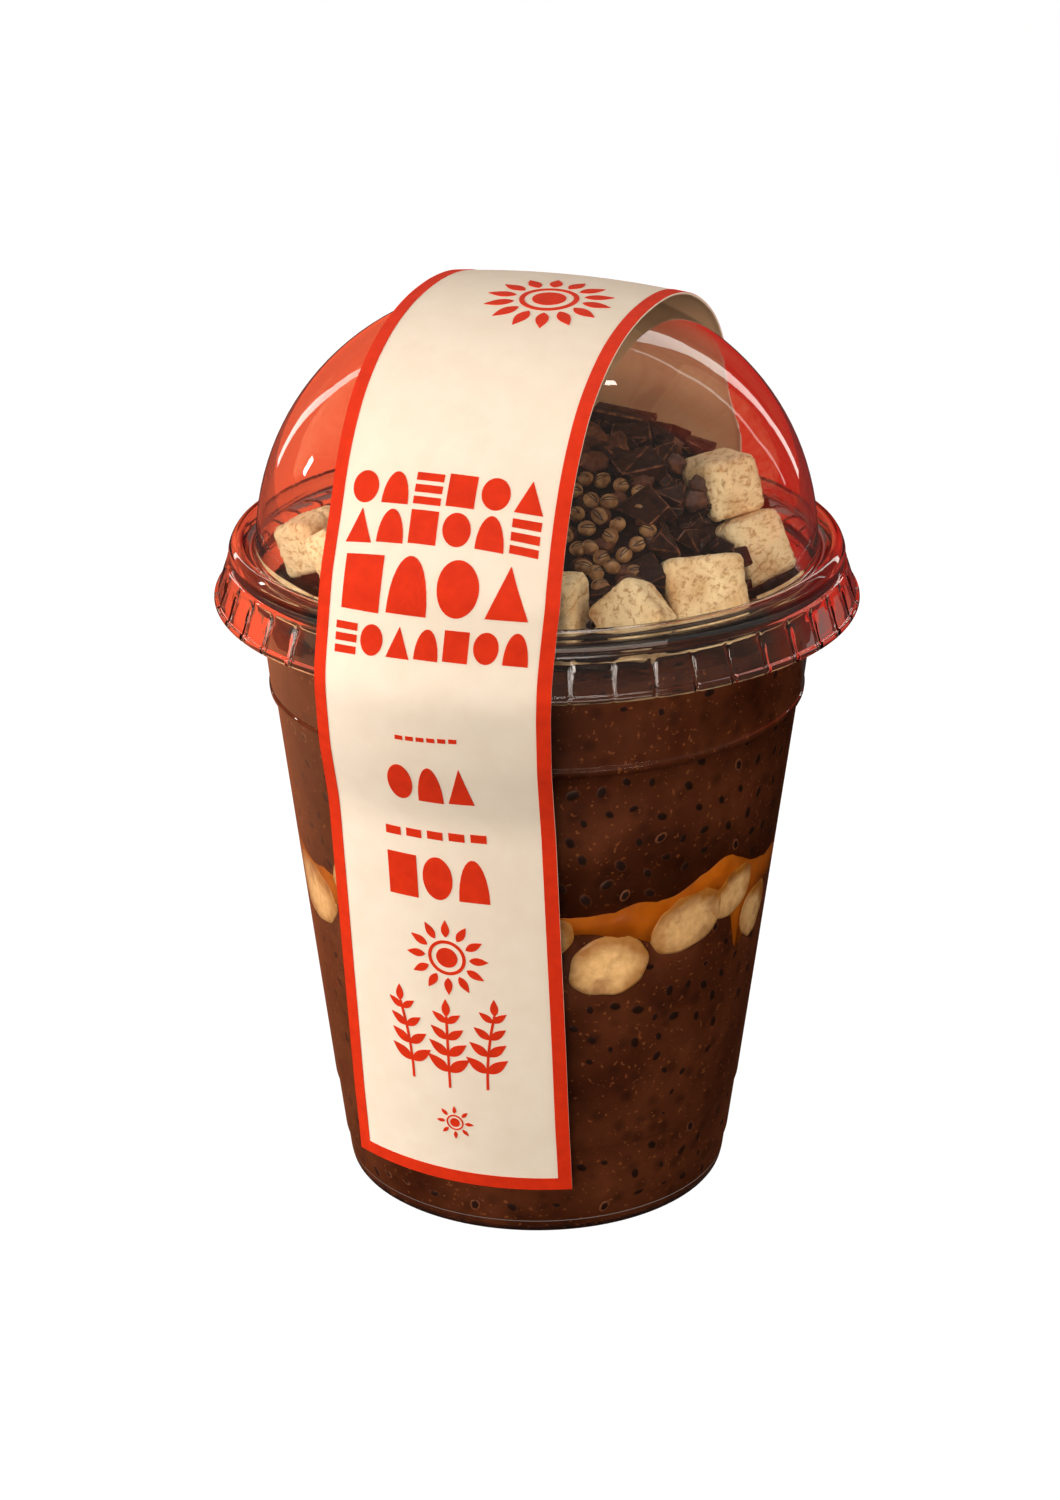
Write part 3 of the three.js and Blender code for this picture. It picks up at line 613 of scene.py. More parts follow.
def seed_tree(material):
    """Chia seeds laid flat on the mesh at random, each a flattened oval."""
    tree, given = node_group("Chia Seeds", [
        ("Spacing", "Float"), ("Density", "Float"), ("Length", "Float"), ("Sink", "Float"),
        ("Seed", "Int")])
    spread = add_node(tree, "GeometryNodeDistributePointsOnFaces", {
        "Mesh": given["Geometry"], "Distance Min": given["Spacing"],
        "Density Max": given["Density"], "Seed": given["Seed"]},
        distribute_method="POISSON")
    ball = add_node(tree, "GeometryNodeMeshIcoSphere", {"Radius": 0.5, "Subdivisions": 2})
    axes = add_node(tree, "ShaderNodeSeparateXYZ", {
        0: add_node(tree, "GeometryNodeInputPosition").outputs[0]}).outputs
    out = maths(tree, "SQRT", maths(tree, "ADD", maths(tree, "MULTIPLY", axes[0], axes[0]),
                                    maths(tree, "MULTIPLY", axes[1], axes[1])))
    middle = maths(tree, "SUBTRACT", 1, maths(tree, "MULTIPLY", out, 2))
    marked = add_node(tree, "GeometryNodeStoreNamedAttribute", {
        "Geometry": ball.outputs["Mesh"], "Name": "middle", "Value": middle},
        data_type="FLOAT", domain="POINT")
    chance = add_node(tree, "FunctionNodeRandomValue", {"Probability": 0.1, "Seed": 11},
                      data_type="BOOLEAN").outputs[3]
    rolled = add_node(tree, "GeometryNodeStoreNamedAttribute", {
        "Geometry": spread.outputs["Points"], "Name": "gel", "Value": chance},
        data_type="FLOAT", domain="POINT")
    spin = random_float(tree, 0.0, TAU, 5)
    turned = add_node(tree, "FunctionNodeRotateRotation", {
        "Rotation": spread.outputs["Rotation"],
        "Rotate By": add_node(tree, "FunctionNodeEulerToRotation", {
            0: add_node(tree, "ShaderNodeCombineXYZ", {2: spin}).outputs[0]}).outputs[0]},
        rotation_space="LOCAL")
    size = maths(tree, "MULTIPLY", given["Length"], random_float(tree, 0.8, 1.15, 8))
    scale = add_node(tree, "ShaderNodeCombineXYZ", {
        0: size, 1: maths(tree, "MULTIPLY", size, 0.68), 2: maths(tree, "MULTIPLY", size, 0.3)})
    inwards = add_node(tree, "ShaderNodeVectorMath", {
        0: spread.outputs["Normal"], "Scale": given["Sink"]}, operation="SCALE")
    sunk = add_node(tree, "GeometryNodeSetPosition", {
        "Geometry": rolled.outputs[0], "Offset": inwards.outputs[0]})
    placed = add_node(tree, "GeometryNodeInstanceOnPoints", {
        "Points": sunk.outputs[0], "Instance": marked.outputs[0],
        "Rotation": turned.outputs[0], "Scale": scale.outputs[0]})
    end_tree(tree, placed.outputs[0], material)
    return tree


# Shares of the radius at which a layer's wavy edge has rows, from the wall inwards
EDGE_SHARES = [1.0, 0.93, 0.82, 0.7]


def lower_pudding(cup, food, low):
    """Rows from the middle of the base to the middle of the top."""
    base = cup.push_up + 0.6
    heights = [z for z in wall_heights(cup) if 2 < z < food.caramel_floor - 8]
    return [flat_row(0, base), flat_row(cup.foot_inner - 0.8, base),
            flat_row(cup.foot_inner + 0.5, 0.6), flat_row(cup.foot_outer - 0.1, 0.5),
            flat_row(25.45, 1.3), *wall_rows(cup, heights),
            *edge_rows(cup, food.caramel_floor, low, PUDDING_INTO_WALL, EDGE_SHARES),
            flat_row(0, food.caramel_floor)]


def upper_pudding(cup, food, high):
    """Rows from the middle of the base to the middle of the top, and the top's edge radius."""
    heights = [z for z in wall_heights(cup) if food.caramel_ceiling + 6 < z < food.pudding_top]
    rim = food.pudding_top + food.meniscus + ripple(FOOD_TURN, 9, 0.25)
    edge = food_radius(cup, rim, PUDDING_INTO_WALL)
    rows = [flat_row(0, food.caramel_ceiling),
            *edge_rows(cup, food.caramel_ceiling, high, PUDDING_INTO_WALL, EDGE_SHARES[::-1]),
            *wall_rows(cup, heights), np.stack([edge, rim], -1)]
    for inwards, share in ((0.35, 0.6), (0.8, 0.25), (1.6, 0)):
        rows.append(np.stack([edge - inwards, food.pudding_top + (
            rim - food.pudding_top) * share], -1))
    for share in (0.85, 0.7, 0.55, 0.4, 0.25, 0.12):
        lift = ripple(FOOD_TURN * 0.35, int(share * 100), 0.5) * share
        rows.append(np.stack([edge * share, food.pudding_top + lift], -1))
    rows.append(flat_row(0, food.pudding_top))
    return rows, edge


# Distance of the seeds from the caramel, how far they sink, and their number per square metre
SEED_MARGIN, SEED_SINK, SEED_DENSITY = 1.1, 0.2, 200000.0


def seed_areas(cup, food, low, high):
    """Rows of the wall that seeds lie on, for each pudding, and the height of its bare top."""
    lower = [np.full(FOOD_SIDES, 3.0), np.full(FOOD_SIDES, 12.0),
             food.caramel_floor + low * 0.5 - SEED_MARGIN - 9,
             food.caramel_floor + low * 1 - SEED_MARGIN]
    upper = [food.caramel_ceiling + high + SEED_MARGIN, np.full(FOOD_SIDES, 66.0),
             np.full(FOOD_SIDES, food.pudding_top - 0.2)]
    return [("lower", food_rows(cup, lower, PUDDING_INTO_WALL), None),
            ("upper", food_rows(cup, upper, PUDDING_INTO_WALL), food.pudding_top)]


def make_seeds(food, areas, edge, look):
    """Chia seeds on the wall, and on the top inside the edge where it is bare."""
    for name, rows, top in areas:
        points = [around(row[:, 0], FOOD_TURN, row[:, 1]) for row in rows]
        faces = grid_faces(len(rows), FOOD_SIDES, wrap_columns=True)
        if top is not None:
            ring = np.full(FOOD_SIDES, edge.min() - 3.5)
            start = len(rows) * FOOD_SIDES
            points += [around(ring, FOOD_TURN, top + 0.1), around(ring * 0.3, FOOD_TURN, top + 0.1)]
            faces += [tuple(start + i for i in face)
                      for face in grid_faces(2, FOOD_SIDES, wrap_columns=True)]
        seeds = mesh_object("chia_seeds_" + name, np.vstack(points), faces, None)
        seeds = with_nodes(seeds, seed_tree(seed_finish(look)), spacing=food.seed_spacing * MM,
                           density=SEED_DENSITY, length=food.seed_length * MM,
                           sink=-SEED_SINK * MM, seed=5)
        finish_piece(seeds, "pudding")


def make_pudding(cup, food):
    look = bpy.context.scene.chia_finishes
    finish = pudding_finish(look)
    low, high = caramel_edges()
    upper, edge = upper_pudding(cup, food, high)
    for name, rows in (("pudding_lower", lower_pudding(cup, food, low)),
                       ("pudding_upper", upper)):
        body = lathe("body_" + name, np.array(rows), FOOD_SIDES, finish)
        finish_piece(body, "pudding", name)
    make_seeds(food, seed_areas(cup, food, low, high), edge, look)


def caramel_finish(look):
    """Date caramel: flat amber brown, a little glossy."""
    material, tree, shader = surface("Date Caramel", "soft caramel layer", roughness=0.35,
                                     specular_ior_level=0.1)
    place = object_place(tree)
    cloud = noise_texture(tree, place, 160, 3)
    shade = ramp(tree, cloud, [(0.3, srgb("#c8b8a8")), (0.7, srgb("#ffffff"))])
    tree.links.new(mix_colour(tree, 1.0, look.caramel, shade, "MULTIPLY"),
                   shader.inputs["Base Color"])
    bump(tree, shader, cloud, 0.2, 0.0005)
    return material


def make_caramel(cup, food):
    low, high = caramel_edges()
    shares = [0.7, 0.82, 0.93, 0.985, 1.0]
    rows = [flat_row(0, food.caramel_floor),
            *edge_rows(cup, food.caramel_floor, low, CARAMEL_INTO_WALL, shares),
            *edge_rows(cup, food.caramel_ceiling, high, CARAMEL_INTO_WALL, shares[::-1]),
            flat_row(0, food.caramel_ceiling)]
    body = lathe("caramel_ribbon", np.array(rows), FOOD_SIDES,
                 caramel_finish(bpy.context.scene.chia_finishes))
    finish_piece(body, "caramel", "caramel_layer")


# Banana slices: name, azimuth, height, width, height of the oval, tilt, browning
SLICES = [
    ("right_1", 38.5, 41.4, 11.0, 9.8, 5, 0.35), ("right_2", 59.5, 45.5, 12.2, 9.2, 15, 0.7),
    ("right_3", 74.5, 47.0, 9.5, 7.0, 25, 0.8), ("right_4", 87.0, 42.0, 8.5, 8.4, -10, 0.7),
    ("front_1", 21.0, 46.6, 9.6, 7.6, -12, 0.5), ("front_2", -4.0, 42.6, 11.0, 9.0, 8, 0.5),
    ("left_1", -48.0, 44.5, 13.5, 9.4, -8, 0.2), ("left_2", -27.0, 49.3, 9.0, 6.6, 10, 0.4),
    ("left_3", -77.0, 43.4, 11.0, 9.0, 12, 0.5), ("back_1", 112.0, 44.6, 11.5, 9.2, 8, 0.5),
    ("back_2", 141.0, 43.2, 10.5, 8.6, -14, 0.4), ("back_3", 170.0, 45.4, 12.0, 9.4, 6, 0.6),
    ("back_4", -158.0, 42.8, 10.0, 8.2, 0, 0.3), ("back_5", -124.0, 45.0, 11.5, 9.0, 14, 0.5),
]


def banana_finish(look):
    """Ripe banana seen through the wall: pale flesh, browned rim, wet."""
    material, tree, shader = surface("Ripe Banana", "fresh banana slice", roughness=0.3,
                                     specular_ior_level=0.3)
    place = object_place(tree)
    rim = attribute_factor(tree, "rim")
    brown = attribute_factor(tree, "browning")
    wander = noise_texture(tree, place, 260, 3)
    fine = noise_texture(tree, place, 900, 3)
    spread = maths(tree, "ADD", rim, maths(tree, "MULTIPLY", maths(
        tree, "SUBTRACT", wander, 0.5), 0.9))
    edge = ramp(tree, spread, [(0.45, srgb("#000000")), (0.95, srgb("#ffffff"))])
    factor = maths(tree, "ADD", maths(tree, "MULTIPLY", edge, 0.75), maths(
        tree, "MULTIPLY", brown, 0.3))
    base = mix_colour(tree, factor, look.banana, look.banana_edge)
    wet = ramp(tree, wander, [(0.32, srgb("#9a6a3a")), (0.5, srgb("#ffffff"))])
    base = mix_colour(tree, 0.6, base, wet, "MULTIPLY")
    grain = ramp(tree, fine, [(0.35, srgb("#ece4da")), (0.65, srgb("#ffffff"))])
    tree.links.new(mix_colour(tree, 1.0, base, grain, "MULTIPLY"), shader.inputs["Base Color"])
    bump(tree, shader, wander, 0.3, 0.0005)
    return material


def slice_profile(half):
    """Share of the slice's width and depth in millimetres, from the inner face to the wall."""
    inner = [(0.4 * share, -half) for share in (0.25, 0.5, 0.75)]
    front = [(0.44 * share, half) for share in (0.8, 0.55, 0.3, 0.12)]
    return [(0, -half), *inner, (0.4, -half), (0.47, -half + 1), (0.505, 0),
            (0.5, half - 1.4), (0.475, half - 0.5), (0.445, half - 0.08), *front, (0, half)]


def make_slices(cup, food):
    finish = banana_finish(bpy.context.scene.chia_finishes)
    sides, half = 56, food.slice_depth / 2
    profile = slice_profile(half)
    angle = np.arange(sides) * TAU / sides
    for index, (name, azimuth, z, wide, tall, tilt, browning) in enumerate(SLICES):
        draw = np.random.default_rng(60 + index)
        lobes = 1 + 0.035 * np.cos(3 * angle + draw.uniform(0, TAU)) + 0.02 * np.cos(
            5 * angle + draw.uniform(0, TAU)) + 0.012 * np.cos(9 * angle + draw.uniform(0, TAU))
        points, rims = [], []
        lean, turn = math.radians(tilt), math.radians(azimuth)
        centre = float(food_radius(cup, z, -0.3)) - half + 1.0
        rows = profile[1:-1]
        for radius, depth in [*rows, profile[0], profile[-1]]:
            a = radius * wide * np.cos(angle) * lobes
            b = radius * tall * np.sin(angle) * lobes
            across = a * math.cos(lean) - b * math.sin(lean)
            up = a * math.sin(lean) + b * math.cos(lean)
            x = across * math.cos(turn) + (centre + depth) * math.sin(turn)
            y = across * math.sin(turn) - (centre + depth) * math.cos(turn)
            ring = np.stack([x, y, z + up], -1)
            points.append(ring if radius else ring[:1])
            shares = radius / 0.5 * (0.8 + 0.6 * np.maximum(np.sin(angle + 0.3), 0))
            rims += list(shares if depth > 0 else shares * 0 + 1) if radius else [float(depth < 0)]
        points = np.vstack(points)
        reach = np.hypot(points[:, 0], points[:, 1])
        limit = food_radius(cup, points[:, 2], 0.3)
        points[:, :2] *= np.minimum(1, limit / reach)[:, None]
        count = len(rows)
        faces = grid_faces(count, sides, wrap_columns=True)
        low, high, top = count * sides, count * sides + 1, (count - 1) * sides
        for k in range(sides):
            right = (k + 1) % sides
            faces += [(low, right, k), (high, top + k, top + right)]
        piece = mesh_object("banana_" + name, points, faces, finish)
        store_factor(piece, "rim", rims)
        store_factor(piece, "browning", np.full(len(points), browning))
        finish_piece(piece, "fresh_banana", "banana_slice_" + name)


def dried_finish(look):
    """Crisp freeze-dried banana: pale, porous, fibrous and toasted in places."""
    material, tree, shader = surface("Dried Banana Cube", "crisp banana", roughness=0.75)
    place = object_place(tree)
    broad = noise_texture(tree, place, 170, 3)
    stretched = add_node(tree, "ShaderNodeMapping", {"Vector": place, "Rotation": (0.4, 0.7, 0.3),
                                                     "Scale": (1.0, 0.3, 1.0)}).outputs[0]
    fibre = noise_texture(tree, stretched, 1500, 3, 0.6, 0.6)
    toast = ramp(tree, broad, [(0.42, srgb("#000000")), (0.72, srgb("#ffffff"))])
    base = mix_colour(tree, maths(tree, "MULTIPLY", toast, 0.7), look.dried, look.dried_dark)
    thread = ramp(tree, fibre, [(0.33, srgb("#bd8a4e")), (0.5, srgb("#ffffff"))])
    base = mix_colour(tree, 0.7, base, thread, "MULTIPLY")
    holes = noise_texture(tree, place, 1500, 2)
    specks = ramp(tree, holes, [(0.62, srgb("#000000")), (0.72, srgb("#ffffff"))])
    base = mix_colour(tree, maths(tree, "MULTIPLY", specks, 0.5), base, srgb("#8f5a22"))
    tree.links.new(base, shader.inputs["Base Color"])
    bump(tree, shader, fibre, 0.6, 0.0004)
    return material


def make_cubes():
    finish = dried_finish(bpy.context.scene.chia_finishes)
    names = sorted(name for name in NODES if name.startswith("banana_cube_"))
    if not names:
        raise RuntimeError("the frame has no banana cubes")
    for index, name in enumerate(names):
        work = bpy.data.objects.new("cube_" + name[12:], NODES[name].data.copy())
        bpy.context.scene.collection.objects.link(work)
        shape = bmesh.new()
        shape.from_mesh(work.data)
        bmesh.ops.remove_doubles(shape, verts=shape.verts, dist=1e-6)
        shape.to_mesh(work.data)
        shape.free()
        remesh = work.modifiers.new("Even Faces", "REMESH")
        remesh.mode = "VOXEL"
        remesh.voxel_size = 0.34 * MM
        soften = work.modifiers.new("Worn Edges", "SMOOTH")
        soften.iterations = 2
        soften.factor = 0.5
        piece = baked(work, work.name)
        mesh = piece.data
        shift = Vector((index * 7.3, index * 3.1, 0))
        for corner in mesh.vertices:
            place = corner.co / MM
            lump = noise.fractal(place * 0.3 + shift, 0.9, 2.0, 3) * 0.16
            pit = max(0.0, noise.noise(place * 1.3 + shift) - 0.2) * 0.6
            corner.co += corner.normal * (0.38 + lump - pit) * MM
        mesh.materials.clear()
        mesh.materials.append(finish)
        mesh.polygons.foreach_set("use_smooth", [True] * len(mesh.polygons))
        finish_piece(piece, "dried_banana", name)


def heap_share(food, x, y):
    reach = np.where(y > food.heap_crest, food.heap_back, food.heap_front)
    return (np.abs(x) / food.heap_half_width) ** 4 + ((y - food.heap_crest) / reach) ** 2


def heap_top(food, x, y):
    return food.heap_floor + 1.2 + food.heap_height * np.maximum(0, 1 - heap_share(food, x, y))


HEAP_LIMIT = 33.0
PEARL_PATCH = (11.5, -9.5, 7.5, 8.5)


def in_pearl_patch(x, y):
    px, py, wide, deep = PEARL_PATCH
    return ((x - px) / wide) ** 2 + ((y - py) / deep) ** 2 < 1


def heap_core(food):
    """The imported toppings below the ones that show."""
    sides, rings, centre = 120, 26, food.heap_crest / 2
    turn = np.arange(sides) * TAU / sides
    way_x, way_y = np.sin(turn), -np.cos(turn)
    low, high = np.zeros(sides), np.full(sides, 60.0)
    for _ in range(30):
        reach = (low + high) / 2
        x, y = reach * way_x, centre + reach * way_y
        inside = (heap_share(food, x, y) < 1) & (np.hypot(x, y) < HEAP_LIMIT)
        low, high = np.where(inside, reach, low), np.where(inside, high, reach)
    rows = [np.zeros((1, 3))]
    for share in np.linspace(0.05, 1, rings):
        x, y = share * low * way_x, centre + share * low * way_y
        z = heap_top(food, x, y) - 1.5
        bumps = np.array([noise.noise(Vector((a * 0.45, b * 0.45, 3.0))) for a, b in zip(x, y)])
        rows.append(np.stack([x, y, z + bumps * 1.2 * (1 - share ** 4)], -1))
    rows[0][0] = (0, centre, heap_top(food, 0, centre) - 1.5)
    x, y = low * way_x, centre + low * way_y
    rows.append(np.stack([x, y, np.full(sides, food.heap_floor - 0.5)], -1))
    points = np.vstack([*rows, [[0, centre, food.heap_floor - 0.5]]])
    faces = [tuple(1 + i for i in face) for face in grid_faces(rings + 1, sides, wrap_columns=True)]
    last, low_ring = len(points) - 1, 1 + rings * sides
    for k in range(sides):
        right = (k + 1) % sides
        faces += [(0, 1 + right, 1 + k), (last, low_ring + k, low_ring + right)]
    faces = [face[::-1] for face in faces]
    return points, faces


def chocolate_finish(look):
    """Dark chocolate, broken: smooth faces, dusty patches, and paler edges that are partly the
    broken edge's own tone and partly a painted highlight.
    """
    material, tree, shader = surface("Dark Chocolate", "broken dark chocolate", roughness=0.4,
                                     specular_ior_level=0.2)
    place = object_place(tree)
    edge = attribute_factor(tree, "edge")
    fine = noise_texture(tree, place, 900, 4)
    broad = noise_texture(tree, place, 330, 3)
    dust = ramp(tree, broad, [(0.55, srgb("#000000")), (0.75, srgb("#6a6a6a"))])
    # Painted highlight: the bevelled edges are painted paler, on top of the real dusty patches
    highlight_and_wear = maths(tree, "MAXIMUM", dust, maths(tree, "MULTIPLY", edge, ramp(tree, fine, [
        (0.35, srgb("#5a5a5a")), (0.6, srgb("#ffffff"))])))
    base = mix_colour(tree, highlight_and_wear, look.chocolate, look.chocolate_edge_highlight)
    grain = ramp(tree, fine, [(0.35, srgb("#a3948c")), (0.65, srgb("#ffffff"))])
    tree.links.new(mix_colour(tree, 1.0, base, grain, "MULTIPLY"), shader.inputs["Base Color"])
    bump(tree, shader, broad, 0.6, 0.0008)
    return material


def crisp_finish(look):
    """Cocoa crisp: baked, matt and porous."""
    material, tree, shader = surface("Cocoa Crisp", "baked cocoa crisp", roughness=0.7)
    place = object_place(tree)
    fine = noise_texture(tree, place, 700, 4)
    tint = ramp(tree, fine, [(0.3, srgb("#3a1c0d")), (0.55, look.crisp), (0.8, srgb("#86502a"))])
    tree.links.new(tint, shader.inputs["Base Color"])
    bump(tree, shader, fine, 0.6, 0.0004)
    return material


def pearl_finish(look):
    """Coffee crisp pearl: pale toffee colour with a dark slit."""
    material, tree, shader = surface("Coffee Pearl", "pale coffee crisp pearl", roughness=0.5)
    slit = attribute_factor(tree, "slit")
    fine = noise_texture(tree, object_place(tree), 900, 3)
    tint = ramp(tree, slit, [(0.1, look.pearl), (0.4, srgb("#3c2110")), (0.7, srgb("#4a2a14")),
                             (0.95, srgb("#c9a878"))])
    grain = ramp(tree, fine, [(0.35, srgb("#b79f88")), (0.65, srgb("#ffffff"))])
    tree.links.new(mix_colour(tree, 1.0, tint, grain, "MULTIPLY"), shader.inputs["Base Color"])
    return material


# Pieces that stand out on the heap: x, y, lift, long, wide, thick, yaw, tilt and roll
HERO_CHUNKS = [
    (9.9, 9.1, 1.2, 6.5, 4.5, 3.0, 20, 20, 0), (13.7, 12.4, 1.4, 6.0, 4.6, 3.2, 70, -10, 30),
    (17.0, 13.7, 1.2, 5.0, 4.0, 3.0, 10, 0, 20), (9.0, 3.0, 1.2, 7.2, 3.2, 2.4, -20, 10, 10),
    (13.5, 1.3, 1.3, 6.8, 5.6, 3.6, 35, 15, -10), (14.6, 5.2, 1.4, 5.2, 4.4, 3.2, 80, -20, 10),
    (18.1, -0.4, 1.0, 5.0, 3.6, 2.8, 15, 25, 20), (18.6, 2.1, 1.2, 4.4, 3.4, 2.6, 60, 0, 30),
    (16.8, -4.7, 1.0, 7.0, 5.4, 3.4, -30, 30, 15), (22.2, -3.4, 1.0, 5.4, 3.0, 2.6, 60, 20, 30),
    (20.4, -6.9, 0.9, 4.6, 3.8, 2.8, 10, 10, 35), (20.0, -12.0, 0.9, 5.4, 4.0, 3.0, -40, 20, 20),
    (19.5, -14.7, 0.8, 4.4, 3.4, 2.6, 30, 20, 10), (7.0, 14.0, 1.8, 10.0, 3.6, 3.2, 12, 5, 10),
    (-24.0, 4.0, 1.0, 7.0, 5.0, 3.4, 50, 10, -20), (-27.0, 9.0, 1.0, 6.0, 4.6, 3.2, 0, 10, -30),
]
HERO_SPACING = 4.4
HERO_CRISPS = [(7.7, 0.4, 3.8), (16.7, 5.6, 3.2), (6.2, 5.6, 3.6), (20.8, 5.4, 3.4),
               (5.0, 2.0, 3.4), (4.2, 8.4, 3.2), (8.6, 6.8, 3.0), (11.2, 12.6, 3.0)]
HERO_PEARLS = [
    (11.5, -7.9), (14.1, -8.3), (10.6, -10.0), (13.8, -10.1), (11.9, -12.3), (13.7, -13.1),
    (16.2, -11.7), (17.2, -9.6), (9.7, -5.8), (11.9, -5.4), (9.8, -2.2), (7.6, -2.5),
    (12.4, -2.3), (12.0, -14.8), (13.7, -15.0), (8.6, -8.3), (10.5, -12.8), (15.3, -13.6),
    (14.7, -16.2),
]


def scatter(draw, taken, spacing, tries, allowed):
    """Places on the heap that keep their distance from each other and the ones taken."""
    places = []
    for x, y in draw.uniform(-HEAP_LIMIT, HEAP_LIMIT, (tries, 2)):
        if allowed(x, y) and all(math.hypot(x - a, y - b) > (spacing + gap) / 2
                                 for a, b, gap in taken):
            taken.append((x, y, spacing))
            places.append((x, y))
    return places


def on_heap(food, x, y, limit=0.93):
    return heap_share(food, x, y) < limit and math.hypot(x, y) < HEAP_LIMIT - 2


def broken_piece(draw, long, wide, thick):
    """A broken block: the hull of a few corners with its edges worn; marks the worn faces, which the
    chocolate finish paints paler as a painted highlight.
    """
    shape = bmesh.new()
    for corner in np.ndindex(2, 2, 2):
        if draw.random() < 0.88:
            way = (np.array(corner) * 2 - 1) * draw.uniform(0.62, 1.05, 3)
            shape.verts.new(Vector(way * (long / 2, wide / 2, thick / 2)))
    hull = bmesh.ops.convex_hull(shape, input=shape.verts)
    loose = [v for v in hull["geom_interior"] + hull["geom_unused"]
             if isinstance(v, bmesh.types.BMVert)]
    bmesh.ops.delete(shape, geom=loose, context="VERTS")
    bmesh.ops.dissolve_limit(shape, angle_limit=0.2, verts=shape.verts, edges=shape.edges)
    # These bevel faces get the painted edge highlight in the chocolate finish
    highlight_and_wear = set(bmesh.ops.bevel(shape, geom=list(shape.edges), offset=0.05 + long * 0.018, segments=1,
                               profile=0.5, affect="EDGES", clamp_overlap=True)["faces"])
    shape.verts.index_update()
    points = np.array([v.co[:] for v in shape.verts])
    faces = [tuple(v.index for v in f.verts) for f in shape.faces]
    marks = [float(f in highlight_and_wear) for f in shape.faces]
    shape.free()
    return points, faces, marks


def joined(name, bodies, material, smooth):
    """One object from several bodies of points, faces and marks of the faces."""
    points, faces, marks, start = [], [], [], 0
    for body_points, body_faces, *body_marks in bodies:
        points.append(body_points)
        faces += [tuple(start + i for i in face) for face in body_faces]
        marks += body_marks[0] if body_marks else [0.0] * len(body_faces)
        start += len(body_points)
    piece = mesh_object(name, np.vstack(points), faces, material, smooth)
    store_factor(piece, "edge", marks, "FACE")
    return piece


def cube_boxes():
    """Lower and upper corners of the banana cubes in millimetres."""
    return np.array([[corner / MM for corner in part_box(name)] for name in NODES
                     if name.startswith("banana_cube_")])


def heap_spots(food, draw, taken, spacing, tries, in_patch):
    """Free places on the heap, either in the patch of pearls or around it."""
    boxes = cube_boxes()

    def allowed(x, y):
        if not on_heap(food, x, y) or bool(in_pearl_patch(x, y)) != in_patch:
            return False
        place = (x, y, float(heap_top(food, x, y)))
        return not ((place > boxes[:, 0] - 0.3) & (place < boxes[:, 1] + 0.3)).all(1).any()
    return scatter(draw, taken, spacing, tries, allowed)


def chunk_bodies(food, draw, taken):
    """Big pieces where they show, then free ones, then crumbs between them."""
    bodies = []
    places = list(HERO_CHUNKS)
    for x, y, *_ in HERO_CHUNKS:
        taken.append((x, y, HERO_SPACING))
    for least, most, spacing, tries, low, high in (
            (3.4, 5.8, 3.2, 5000, 0.2, 1.6), (2.2, 3.6, 2.4, 5000, -0.4, 0.9),
            (1.2, 2.2, 1.6, 6000, 0.3, 1.5)):
        kept = taken if spacing > 3 else []
        for x, y in heap_spots(food, draw, kept, spacing, tries, False):
            long = draw.uniform(least, most)
            places.append((x, y, draw.uniform(low, high), long, long * draw.uniform(0.55, 0.85),
                           long * draw.uniform(0.4, 0.65), *draw.uniform(-50, 50, 3)))
    for x, y, lift, long, wide, thick, yaw, tilt, roll in places:
        points, faces, marks = broken_piece(draw, long, wide, thick)
        turn = Euler([math.radians(a) for a in (tilt, roll, yaw)]).to_matrix()
        points = points @ np.array(turn).T
        bodies.append((points + (x, y, float(heap_top(food, x, y)) + lift), faces, marks))
    return bodies


def crisp_body(draw, radius):
    shape = bmesh.new()
    bmesh.ops.create_icosphere(shape, subdivisions=3, radius=radius)
    shift = Vector(draw.uniform(0, 50, 3))
    for corner in shape.verts:
        corner.co *= 1 + 0.3 * noise.fractal(corner.co * 1.1 + shift, 0.8, 2.0, 4)
        corner.co.z *= 0.85
    points = np.array([v.co[:] for v in shape.verts])
    faces = [tuple(v.index for v in f.verts) for f in shape.faces]
    shape.free()
    return points, faces


def pearl_mesh(name):
    """A pearl of unit size with a slit along its upper side."""
    sides, rings = 16, 11
    points, slits = [], []
    for i in range(1, rings):
        polar = math.pi * i / rings
        for k in range(sides):
            turn = TAU * k / sides
            p = np.array([math.cos(polar), math.sin(polar) * math.cos(turn),
                          math.sin(polar) * math.sin(turn)]) * 0.5
            near = math.exp(-((p[1] / 0.07) ** 2)) if p[2] > 0 else 0.0
            p[2] -= 0.09 * near * (1 - (2 * p[0]) ** 4)
            points.append(p * (1.12, 0.95, 0.9))
            slits.append(near * (1 - (2 * p[0]) ** 4))
    points += [(0.56, 0, 0), (-0.56, 0, 0)]
    slits += [0, 0]
    faces = grid_faces(rings - 1, sides, wrap_columns=True)
    first, last, top = (rings - 1) * sides, (rings - 1) * sides + 1, (rings - 2) * sides
    for k in range(sides):
        right = (k + 1) % sides
        faces += [(first, right, k), (last, top + k, top + right)]
    piece = mesh_object(name, np.array(points) / MM, faces, None)
    store_factor(piece, "slit", slits)
    return piece


